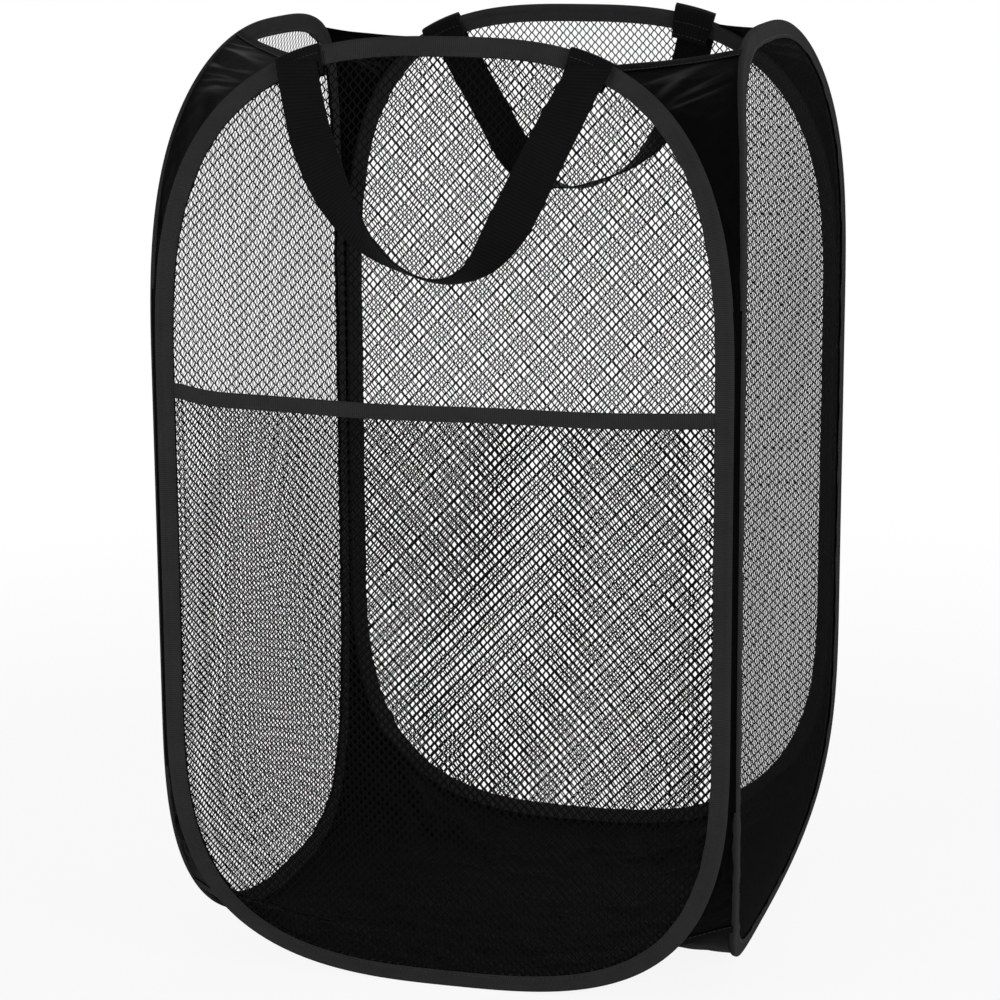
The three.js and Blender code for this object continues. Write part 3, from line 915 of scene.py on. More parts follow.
@dataclass
class Net:
    """A knitted net of zigzag yarns that meet side by side, which leaves rows of staggered holes."""

    half_pitch: float = 0.00272
    row: float = 0.0029
    yarn: float = 0.00096
    thickness: float = 0.00036
    touch: float = 0.0003
    drift: float = 0.0006
    billow: float = 0.0018
    inset: float = 0.0068
    seed: float = 1.0

    def zigzag(self, low: float, high: float, inside: Callable) -> list[Array]:
        """Lay the yarns over a rectangle as wide as the hoop and keep what lies inside an outline.

        Args:
            low: Its lower edge.
            high: Its upper edge.
            inside: A function of u and z that says which points stay.

        Returns:
            One line of u, z and 0 for each run of yarn.
        """
        lines = []
        count = int(HOOP.half / self.half_pitch) + 1
        z = np.arange(low, high, self.row)
        flip = np.where(np.arange(len(z)) % 2, 1.0, -1.0)
        reach = self.half_pitch / 2 - self.touch
        for k in range(-count, count + 1):
            u = k * self.half_pitch + (1 if k % 2 else -1) * flip * reach
            u_now, z_now = self.drifted(u, z)
            keep = inside(u_now, z_now)
            edges = np.flatnonzero(np.diff(np.concatenate([[0], keep.astype(int), [0]])))
            for start, stop in zip(edges[::2], edges[1::2]):
                if stop - start > 1:
                    run = u_now[start:stop], z_now[start:stop]
                    lines.append(np.stack([*run, run[0] * 0], -1))
        return lines

    def drifted(self, u: Array, z: Array) -> tuple[Array, Array]:
        """Shift points the way that a stretched net wanders off its grid.

        Args:
            u: Distances from the panel's middle line.
            z: Heights.

        Returns:
            The shifted distances and heights.
        """
        s = self.seed
        du = np.sin(z / 0.083 + 2.1 * s) + 0.6 * np.sin(z / 0.031 + u / 0.06 + s)
        dz = np.sin(u / 0.071 + 1.3 * s) + 0.5 * np.sin(u / 0.027 - z / 0.09 + 2 * s)
        return u + self.drift * du, z + self.drift * dz * 0.8

    def make(self, name: str, side: Side, lines: list[Array], height: float, off: Callable) -> Object:
        """Knit yarns flat and stretch them over a panel.

        Args:
            name: The object's name.
            side: The panel.
            lines: The yarns' lines.
            height: Not used.
            off: A function of u and z that says how far the net stands off the panel's middle.

        Returns:
            The net.
        """
        made = KNITTING.make(name, lines, self.yarn, self.thickness, NET_YARN.material())
        co = np.empty(len(made.data.vertices) * 3)
        made.data.vertices.foreach_get("co", co)
        u, z, m = co.reshape(-1, 3).T
        bent = turned(HOOP.place(u, z, off(u, z) + m), side.value)
        made.data.vertices.foreach_set("co", bent.ravel())
        made.data.update()
        width = 2 * (HOOP.half - self.inset)
        outward(made)
        f"binding_{side.word}"
        return made


@dataclass
class Panel:
    """One panel: a wire hoop in its folded tape, and the net that the tape grips."""

    side: Side
    tape_width: float = 0.011
    fold_half: float = 0.0022
    leg_half: float = 0.00135
    tape: float = 0.0004
    pucker: float = 0.00016
    stitch_depth: float = 0.0093
    stations: int = 620
    net: Net = field(default_factory=Net)

    def section(self) -> Array:
        """The folded tape's section: r in from the outer edge and m out of the panel, as a closed ring.

        Returns:
            The section's points.
        """
        bulge, leg, t = self.fold_half, self.leg_half, self.tape
        skin = np.array([[0, 0], [0, 0.45 * bulge], [0.0006, 0.9 * bulge], [0.0017, bulge], [0.0027, bulge],
                         [0.0038, 0.8 * bulge], [0.0047, leg], [0.0064, leg], [0.0084, leg],
                         [self.tape_width - 0.0002, leg], [self.tape_width, leg - 0.0002]])
        inner = np.array([[self.tape_width, leg - t], [0.0055, leg - t], [0.0042, leg - t],
                          [0.0036, 0.75 * bulge - t / 2], [0.0024, bulge - t], [0.0012, 0.8 * bulge - t / 2],
                          [t, 0.4 * bulge], [t, 0]])
        return folded(skin, inner, 1)

    def even(self, count: int) -> tuple[Array, Array]:
        """Stations at even distances round the hoop, and those distances.

        Args:
            count: How many stations.

        Returns:
            The stations and the distances.
        """
        dense = HOOP.loop(400, 200)
        dense = np.concatenate([dense, dense[:1]])
        run = lengths(dense[:, :2])
        at = np.linspace(0, run[-1], count + 1)
        found = np.stack([np.interp(at, run, dense[:, i]) for i in range(4)], -1)
        return np.concatenate([found[:, :2], unit(found[:, 2:])], -1), at

    def binding(self) -> Object:
        """The folded tape round the whole hoop.

        Returns:
            The tape.
        """
        stations, at = self.even(self.stations)
        ring = self.section()
        phase = 1.7 * self.side.value
        ripple = self.pucker * (np.sin(at / 0.0047 + phase) + np.sin(at / 0.0113 + 2 * phase)
                                + 0.8 * np.sin(at / 0.0029 + 3 * phase))[:-1, None]
        on_leg = eased((ring[:, 0] - 0.0045) / 0.004)[None]
        m = ring[None, :, 1] + ripple * on_leg
        r = ring[None, :, 0] + ripple * on_leg * 0.6
        points = HOOP.across(stations[:-1, None], r, m)
        return dress(swept(f"{self.side.word}_binding_tape", turned(points, self.side.value), True, at, ring),
                     BINDING_TAPE)

    def seams(self) -> Object:
        """The two rows of stitches that close the tape on the net, one on each face."""
        rows = rows_off(self.even(900)[0], (self.stitch_depth,), self.leg_half, self.side)
        return STITCHES.make(f"{self.side.word}_binding_stitches", rows, 11 + self.side.value)

    def mesh(self) -> Object:
        """The net, cut to the hoop and held in the tape.

        Returns:
            The net.
        """
        net = self.net
        net.seed = 1 + 1.37 * self.side.value

        def inside(u: Array, z: Array) -> Array:
            """Which points lie in the outline."""
            return np.abs(u) < HOOP.width_at(z, net.inset)

        return net.make(f"{self.side.word}_net", self.side, net.zigzag(0.0, HOOP.height, inside),
                        HOOP.height - 2 * net.inset, self.bulge)

    def bulge(self, u: Array, z: Array) -> Array:
        """How far the net stands off the panel's middle: it gives a little inward between its edges.

        Args:
            u: Distances from the panel's middle line.
            z: Heights.

        Returns:
            The distances, positive outward.
        """
        across = np.clip(1 - (u / HOOP.half) ** 2, 0, 1)
        up = np.clip(np.sin(math.pi * z / HOOP.height), 0, 1)
        start = -0.0003 if self.side is Side.FRONT else 0.0
        wave = 0.5 * np.sin(z / 0.06 + self.side.value) * np.sin(u / 0.05)
        return start - self.net.billow * across * up * (1 + 0.3 * wave)

    def build(self) -> list[Object]:
        """Build the panel and fix it to its body.

        Returns:
            What was built.
        """
        tape, seams, net = self.binding(), self.seams(), self.mesh()
        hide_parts(f"binding_{self.side.word}")
        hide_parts(f"net_{self.side.word}")
        for node_name, finish in ((f"wire_loop_{self.side.word}", SPRING_STEEL),
                                  (f"crimp_sleeve_{self.side.word}", SLEEVE_ZINC)):
            dress(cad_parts[node_name], finish)
        for made in (tape, seams, net):
            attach(made, self.side.body)
        return [tape, seams, net]


@dataclass
class Pocket:
    """The net pocket on the front panel, and the tape along its open top."""

    top: float = 0.364
    strip: float = 0.009
    bow: float = 0.012
    sag: float = 0.0005
    stand: float = 0.0023
    start: float = 0.043
    leg_half: float = 0.00125
    tape: float = 0.0005
    tuck: float = 0.012
    inset: float = 0.0113
    net: Net = field(default_factory=lambda: Net(seed=7.3, drift=0.0008))

    @property
    def half(self) -> float:
        """Half of the pocket's width, to the inner edge of the binding."""
        return HOOP.half - self.inset

    def off(self, u: Array, z: Array) -> Array:
        """How far the pocket stands off the front panel's middle.

        Args:
            u: Distances from the panel's middle line.
            z: Heights.

        Returns:
            The distances, positive outward.
        """
        across = np.clip(1 - (u / self.half) ** 2, 0, 1)
        up = np.clip(z - self.start, 0, None) / (self.top - self.start)
        edge = eased((HOOP.width_at(z, self.inset) - np.abs(u)) / self.tuck)
        foot = eased((z - 0.012) / 0.03)
        return 0.0005 + (self.stand - 0.0005 + self.bow * up * across) * edge * foot

    def edge(self, u: Array) -> Array:
        """The height of the pocket's top edge.

        Args:
            u: Distances from the panel's middle line.

        Returns:
            The heights.
        """
        across = u / self.half
        tug = 0.0034 * hump(np.abs(across) - 1, 0.12) * (across < 0)
        return self.top - self.sag * (1 - across**2) + tug + 0.0004 * np.sin(u / 0.021)

    def mesh(self) -> Object:
        """The pocket's net.

        Returns:
            The net.
        """
        net = self.net

        def inside(u: Array, z: Array) -> Array:
            """Which points lie in the outline."""
            return (np.abs(u) < HOOP.width_at(z, net.inset)) & (z < self.edge(u) - self.strip / 3)

        lines = net.zigzag(0.0013, self.top, inside)
        return net.make("pocket_net_yarns", Side.FRONT, lines, self.top, self.off)

    def tape_section(self) -> Array:
        """The strip's section: r down from its fold and m out, folded over the net's edge.

        Returns:
            The section's points.
        """
        leg, t = self.leg_half, self.tape
        skin = np.array([[0, 0], [0, 0.6 * leg], [0.0005, leg], [0.002, leg], [0.0045, 0.94 * leg],
                         [0.007, leg], [self.strip - 0.0002, leg], [self.strip, leg - 0.0001]])
        inner = np.array([[self.strip, leg - t], [0.003, leg - t], [0.0012, leg - t], [t, 0.4 * leg], [t, 0]])
        return folded(skin, inner, 1)

    def tape_strip(self) -> Object:
        """The tape along the top edge, its ends tucked into the binding.

        Returns:
            The strip.
        """
        ring = self.tape_section()
        u = np.linspace(-(self.half + 0.0035), self.half + 0.0035, 260)[:, None]
        flat = 0.36 + 0.64 * eased((self.half + 0.001 - np.abs(u)) / 0.007)
        r = ring[None, :, 0]
        ripple = 0.00022 * np.sin(u / 0.0061) + 0.00018 * np.sin(u / 0.0153 + 1)
        z = self.edge(u) - r
        m = self.off(u, z) + ring[None, :, 1] * flat + ripple * eased(r / self.strip)
        return dress(swept("pocket_tape", HOOP.place(u, z, m), False, lengths(u), ring), BINDING_TAPE)

    def seam(self) -> Object:
        """The row of stitches on each face of the strip.

        Returns:
            The stitches.
        """
        u = np.linspace(-self.half, self.half, 200)
        z = self.edge(u) - self.strip * 0.8
        rows = [HOOP.place(u, z, self.off(u, z) + face * (self.leg_half + THREAD_STAND)) for face in (1, -1)]
        return STITCHES.make("pocket_stitches", rows, 23)

    def build(self) -> list[Object]:
        """Build the pocket and fix it to the front panel.

        Returns:
            What was built.
        """
        net, strip, seam = self.mesh(), self.tape_strip(), self.seam()
        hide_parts("pocket_net")
        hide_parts("pocket_strip")
        for made in (net, strip, seam):
            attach(made, Side.FRONT.body)
        return [net, strip, seam]


# A handle's route: shares of half its span and of its drop, from the left end to the right one
ROUTE_SHARES = ((-1, 0), (-0.93, 0.19), (-0.84, 0.4), (-0.71, 0.59), (-0.46, 0.82), (-0.2, 0.94), (0.07, 1),
                (0.32, 0.94), (0.48, 0.78), (0.65, 0.52), (0.83, 0.25), (1, 0))
# Each handle's turns: share of the way along and share of a quarter turn
FRONT_TWIST = ((0, 0), (0.18, 0), (0.27, 0.24), (0.35, 0.5), (0.43, 0.78), (0.5, 0.88), (0.56, 0.84), (0.63, 0.56),
               (0.7, 0.22), (0.78, 0.04), (1, 0))
BACK_TWIST = ((0, 0), (0.12, 0.12), (0.24, 0.56), (0.31, 0.75), (0.39, 0.98), (0.47, 1.12), (0.55, 1.06),
              (0.64, 0.4), (0.72, 0.06), (1, 0))


def routed(points: Array, count: int) -> Array:
    """Run a smooth line through points, with more even bends where they stand close together.

    Args:
        points: The points to pass.
        count: How many points to return, at even distances.

    Returns:
        The line's points.
    """
    ends = np.concatenate([[2 * points[0] - points[1]], points, [2 * points[-1] - points[-2]]])
    dense = []
    for a, b, c, d in zip(ends, ends[1:], ends[2:], ends[3:]):
        ka, kb, kc = (np.linalg.norm(q - p) ** 0.5 for p, q in ((a, b), (b, c), (c, d)))
        out = ((b - a) / ka - (c - a) / (ka + kb) + (c - b) / kb) * kb
        back = ((c - b) / kb - (d - b) / (kb + kc) + (d - c) / kc) * kb
        t = np.linspace(0, 1, 60, endpoint=False)[:, None]
        dense.append(b + out * t + (3 * (c - b) - 2 * out - back) * t**2 + (2 * (b - c) + out + back) * t**3)
    line = np.concatenate(dense + [points[-1:]])
    run = lengths(line)
    at = np.linspace(0, run[-1], count)
    return np.stack([np.interp(at, run, line[:, i]) for i in range(line.shape[1])], -1)


def tabled(table: tuple, t: Array) -> Array:
    """Read a table of places and values at t, on a smooth line through them."""
    return np.interp(t, *routed(np.array(table, float), 400).T)


@dataclass
class Handle:
    """A webbing handle, and the two ends sewn over the rim that it hangs from."""

    side: Side
    drop: float
    twist: tuple
    shift: float = 0.0
    lofts: tuple[float, float] = (0.0, 0.0)
    width: float = 0.025
    thickness: float = 0.0012
    span: float = 0.174
    gap: float = 0.0003
    clearance: float = 0.0005
    fold_half: float = 0.0022
    end_length: float = 0.016
    steps: int = 240

    @property
    def stand(self) -> float:
        """How far the webbing's middle stands off the panel's middle."""
        return self.fold_half + self.gap + self.thickness + self.clearance + self.thickness / 2

    def section(self) -> Array:
        """The webbing's section: across its width and through it, with rounded, slightly thick edges.

        Returns:
            The section's points.
        """
        w, t = self.width / 2, self.thickness / 2
        half = np.array([[-w, 0], [-w, 0.8 * t], [-w + 0.0005, 1.1 * t], [-w + 0.0018, t], [-0.4 * w, 0.94 * t],
                         [0.4 * w, 0.94 * t], [w - 0.0018, t], [w - 0.0005, 1.1 * t], [w, 0.8 * t], [w, 0]])
        return mirrored(rounded(half, 1))

    def line(self) -> tuple[Array, Array, Array]:
        """The middle of the webbing, and the directions across it and through it.

        Returns:
            The points and the two directions at each.
        """
        top = HOOP.rim_at(np.array([self.span / 2 + self.shift]))[0, 1] - 2 * self.fold_half - self.thickness
        shares = np.array(ROUTE_SHARES)
        route = calmed(routed(shares * [self.span / 2, -self.drop] + [self.shift, top], self.steps), 14)
        t = np.linspace(0, 1, self.steps)
        ahead = unit(np.gradient(route, axis=0))
        turn = calmed(tabled(self.twist, t)[:, None], 16) * math.pi / 2
        slope = HOOP.lean(route[:, 1])[1]
        normal = unit(np.stack([slope * 0, -np.ones_like(slope), slope], -1))
        upward = np.cross(normal, [1.0, 0, 0])
        flat = np.stack([-ahead[:, 1], slope * 0, slope * 0], -1) + upward * ahead[:, :1]
        level = eased(1 - 5 * np.minimum(t, 1 - t))[:, None]
        flat = unit(flat * (1 - level) + np.sign(1 - 2 * t)[:, None] * level * [1, 0, 0])
        across = flat * np.cos(turn) + normal * np.sin(turn)
        through = -flat * np.sin(turn) + normal * np.cos(turn)
        off = self.stand + self.width / 2 * np.sin(turn[:, 0])
        return HOOP.place(route[:, 0], route[:, 1], off), across, through

    def strap(self) -> Object:
        """The hanging webbing.

        Returns:
            The webbing.
        """
        middle, across, through = self.line()
        ring = self.section()
        points = middle[:, None] + across[:, None] * ring[None, :, :1] + through[:, None] * ring[None, :, 1:]
        return dress(swept(f"{self.side.word}_webbing_handle", turned(points, self.side.value), False,
                           lengths(middle), ring), WEBBING)

    def end(self, word: str, u: float, loft: float) -> list[Object]:
        """One end, folded over the rim, with two rows of stitches on each face.

        Args:
            word: The end's word in its nodes' names.
            u: Where on the rim its middle lies.
            loft: How far it stands over the rim's edge.

        Returns:
            The end and its stitches.
        """
        near, t = self.fold_half + self.gap, self.thickness
        far = near + t
        top = self.gap + t + loft
        skin = np.array([[-top, 0], [-top, 0.5 * far], [-top + 0.0008, 0.9 * far], [0.0012 - loft, far],
                         [0.004, far], [self.end_length, far]])
        inner = np.array([[self.end_length, near], [0.004, near], [0.0012 - loft, near],
                          [-top + t, 0.55 * near], [-top + t, 0]])
        ring = folded(skin, inner, 2)
        across = np.linspace(-1, 1, 40) * self.width / 2
        stations = HOOP.rim_at(u + across)
        points = HOOP.across(stations[:, None], ring[None, :, 0], ring[None, :, 1])
        made = swept(f"{self.side.word}_strap_end_{word}", turned(points, self.side.value), False,
                     lengths(across[:, None]), ring)
        tacked = HOOP.rim_at(u + np.linspace(-0.0105, 0.0105, 30))
        tacks = STITCHES.make(f"{self.side.word}_strap_stitches_{word}",
                              rows_off(tacked, (0.0045, 0.0132), far, self.side), 31, pitch=0.0026, length=0.0022)
        return [dress(made, WEBBING), tacks]

    def build(self) -> list[Object]:
        """Build the handle and its ends, and fix each to its body.

        Returns:
            What was built.
        """
        strap = self.strap()
        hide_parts(f"handle_{self.side.word}")
        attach(strap, f"{self.side.word}_handle")
        done = [strap]
        for word, sign, loft in zip(("left", "right"), (-1, 1), self.lofts):
            end, tacks = self.end(word, self.shift + sign * self.span / 2, loft)
            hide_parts(f"strap_end_{self.side.word}_{word}")
            for made in (end, tacks):
                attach(made, self.side.body)
            done += [end, tacks]
        return done


def bent_round(made: Object, corner: Corner, reach: float) -> None:
    """Keep a piece where it stands, its place baked into its mesh; it neither follows the two panels at a corner
    nor bends between them.

    Args:
        made: The piece.
        corner: The corner.
        reach: Not used.
    """
    start = turned(np.array([HOOP.half - reach, -HOOP.plane, 0.0]), corner.value)
    end = turned(np.array([HOOP.plane, -HOOP.half + reach, 0.0]), corner.value)
    before, after = corner.sides
    before.body
    after.body
    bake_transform(made)


@dataclass
class Gusset:
    """The cloth that closes one rounded corner between two panels, with a hem along its free edge."""

    corner: Corner
    end: End
    first_share: float = 0.1
    last_shares: tuple[float, float] = (0.6, 0.6)
    sewn_in: float = 0.0009
    cloth: float = 0.0004
    hem: float = 0.0075
    hem_stand: float = 0.0006
    slack: float = 0.0012
    wrinkle: float = 0.0026
    crest: float = 0.0011
    # How high the creases stand, and how strong their painted highlight is.
    crease_highlight: float = 0.25
    rows: int = 150
    columns: int = 34
    reach: float = 0.045
    kept: float = 0.315

    @property
    def name(self) -> str:
        """The name that its pieces start with."""
        return f"{self.end.word}_gusset_{self.corner.word}"

    def grid(self) -> Array:
        """The cloth's middle points: rows from the seams' start to the free edge, columns across.

        Returns:
            The points, by rows and columns.
        """
        runs = [eased(np.linspace(self.first_share, last, self.rows)) * math.pi / 2 for last in self.last_shares]
        quarter = self.corner.value
        before = turned(HOOP.across(HOOP.arc(runs[0], 1, self.end), self.sewn_in, 0), quarter)
        after = turned(HOOP.across(HOOP.arc(runs[1], -1, self.end), self.sewn_in, 0), quarter + 1)
        flat = ruled(before, after, self.columns)
        return flat + self.folds(flat)

    def shares(self) -> tuple[Array, Array]:
        """How far down the seams and how far across each point of the cloth lies, from 0 to 1."""
        return np.meshgrid(np.linspace(0, 1, self.rows), np.linspace(0, 1, self.columns), indexing="ij")

    def folds(self, flat: Array) -> Array:
        """How the cloth leaves its plane: folds that run from loop to loop, and a slack free edge.

        Args:
            flat: The cloth's points before it folds.

        Returns:
            Each point's shift.
        """
        run, share = self.shares()
        free = 4 * share * (1 - share)
        seed = 5.1 * self.corner.value + (2.7 if self.end is End.FOOT else 0)
        loose = 1.0 if self.end is End.TOP else 1 - run**4
        bent = run + 0.06 * np.sin(3 * share + seed)
        place = np.stack([bent * 9, share * 1.4 + run * 2.0, np.full_like(run, seed)], -1)
        ridges = noise_at(place, 1.0, 3.3) + 0.6 * noise_at(place * [2.3, 1.6, 1], 1.0, 8.1)
        calm = free**1.1 * (0.35 + 0.65 * np.sin(math.pi * np.clip(run * 1.1, 0, 1)))
        lift = self.wrinkle * ridges * calm * loose + self.crest * self.creases()
        sag = self.slack * free * run**6 * loose
        return normals(flat) * lift[..., None] - np.array([0, 0, self.end.value]) * sag[..., None]

    def creases(self) -> Array:
        """How high the sharp creases stand beside a top gusset's hem, as shares of their height; the same shares
        set the painted highlight along their crests.

        Returns:
            The shares, by rows and columns.
        """
        run, share = self.shares()
        if self.end is End.FOOT:
            return run * 0
        place = np.stack([(run - 0.1 * share) * 26, share * 0.9, run * 0 + 2.3 * self.corner.value], -1)
        streaks = np.clip(1 - 4.6 * np.abs(noise_at(place, 1.0, 6.4)), 0, 1)
        streaks = streaks * eased(noise_at(place, 0.6, 2.9) + 0.7)
        beside = eased((run - 0.6) / 0.2) * eased((0.97 - run) / 0.05)
        return self.crease_highlight * streaks * beside * np.clip(6 * share, 0, 1) * eased(1.7 * (1 - share))

    def cloths(self) -> list[tuple[str, slice]]:
        """The cloth's sheets by their columns: two at the corner whose panels no joint joins.

        Returns:
            Each sheet's name and its columns.
        """
        if self.corner is not Corner.BACK_RIGHT:
            return [(self.name, slice(None))]
        middle = self.columns // 2
        return [(f"{self.name}_{side.word}", part) for side, part
                in zip(self.corner.sides, (slice(middle + 1), slice(middle, None)))]

    def hem_strip(self, grid: Array) -> Array:
        """The folded edge: a narrow sheet over the cloth's last rows.

        Args:
            grid: The cloth's middle points.

        Returns:
            The hem's middle points.
        """
        run = np.cumsum(np.linalg.norm(np.diff(grid, axis=0), axis=-1).mean(1))
        rows = max(3, int((run > run[-1] - self.hem).sum()))
        normal = normals(grid)
        middle = self.rows // 2, grid.shape[1] // 2
        outward = np.sign(np.dot(normal[middle][:2], grid[middle][:2]))
        return grid[-rows:] + normal[-rows:] * outward * self.hem_stand

    def build(self) -> list[Object]:
        """Build the cloth, its hem and its stitches, and fix them to their panels where no joint is.

        Returns:
            What was built.
        """
        done = []
        whole, creases = self.grid(), self.creases()
        for k, (name, columns) in enumerate(self.cloths()):
            grid = whole[:, columns]
            cloth = dress(sheeted(f"{name}_cloth", grid, self.cloth), BODY_CLOTH)
            # Painted highlight: the creases' shares, kept on the cloth so that its taffeta pales along the crests.
            pale = np.tile(creases[:, columns].ravel(), 2)
            cloth.data.attributes.new("Crease", "FLOAT", "POINT").data.foreach_set("value", pale)
            strip = self.hem_strip(grid)
            hem = dress(sheeted(f"{name}_hem", strip, 0.0007), BODY_CLOTH)
            line = strip[1] + (strip[1] - grid[-strip.shape[0] + 1]) * 0.5
            seam = STITCHES.make(f"{name}_stitches", [line], 41, slot=BODY_CLOTH.slot)
            [f"binding_{side.word}" for side in self.corner.sides]
            for made in (cloth, hem, seam):
                self.follow(made, k)
            done += [cloth, hem, seam]
        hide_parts(self.name)
        return done

    def follow(self, made: Object, part: int) -> None:
        """Fix a piece to its panel's body where no joint is, and else leave it where it stands.

        Args:
            made: The piece.
            part: Which of the corner's sheets it belongs to.
        """
        if self.corner is Corner.BACK_RIGHT:
            side = self.corner.sides[part]
            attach(made, side.body)
            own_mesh(made)
        else:
            bent_round(made, self.corner, self.reach)


# How far each foot gusset runs down its two hoops and each top gusset up them, as shares of their quarters
FOOT_SHARES = {corner: (0.45, 0.44) for corner in Corner}
FOOT_LAP = 0.015  # how far a foot gusset runs on over the floor's edge, as such a share
HEM_SHARES = {Corner.FRONT_RIGHT: (0.66, 0.71), Corner.BACK_RIGHT: (0.71, 0.68), Corner.BACK_LEFT: (0.585, 0.67),
              Corner.FRONT_LEFT: (0.78, 0.69)}
# How high the creases of each top gusset stand and how strong their painted highlight is, where it isn't 0.2
CREASE_HIGHLIGHT = {Corner.FRONT_LEFT: 0.8}


@dataclass
class CornerSeam:
    """The narrow band of corner cloth that joins two hoops between their gussets."""

    corner: Corner
    depth: float = 0.0004
    face: float = 0.0011
    cloth: float = 0.0005
    end_share: float = 0.13
    columns: int = 9

    def grid(self) -> Array:
        """The band's middle points: rows up the seam, columns from one hoop to the next.

        Returns:
            The points, by rows and columns.
        """
        angles = eased(np.linspace(self.end_share, 0, 12)) * math.pi / 2
        heights = np.linspace(HOOP.foot_rise, HOOP.top_start, 60)[1:-1, None]
        runs = []
        for right in (1, -1):
            straight = heights * [0, 1, 0, 0] + np.array([right * HOOP.half, 0, right, 0])
            runs.append(np.concatenate([HOOP.arc(angles, right, End.FOOT), straight,
                                        HOOP.arc(angles[::-1], right, End.TOP)]))
        quarter = self.corner.value
        before, after = (turned(HOOP.across(run, self.depth, self.face), quarter + k)
                         for k, run in enumerate(runs))
        flat = ruled(before, after, self.columns)
        share = np.linspace(0, 1, self.columns)[None, :, None]
        return flat * (1 - 0.0035 * 4 * share * (1 - share) * [1, 1, 0])

    def build(self) -> list[Object]:
        """Build the band, in two halves fixed to their panels where no joint is.

        Returns:
            What was built.
        """
        grid = self.grid()
        before, after = self.corner.sides
        middle = self.columns // 2
        halves = self.corner is Corner.BACK_RIGHT
        parts = ((before, grid[:, :middle + 1]), (after, grid[:, middle:])) if halves else ((before, grid),)
        done = []
        for side, part in parts:
            name = f"corner_seam_{self.corner.word}" + (f"_{side.word}" if halves else "")
            made = dress(sheeted(name, part, self.cloth), BODY_CLOTH)
            if halves:
                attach(made, side.body)
            else:
                before.body
                after.body
                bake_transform(made)
            done.append(made)
        return done


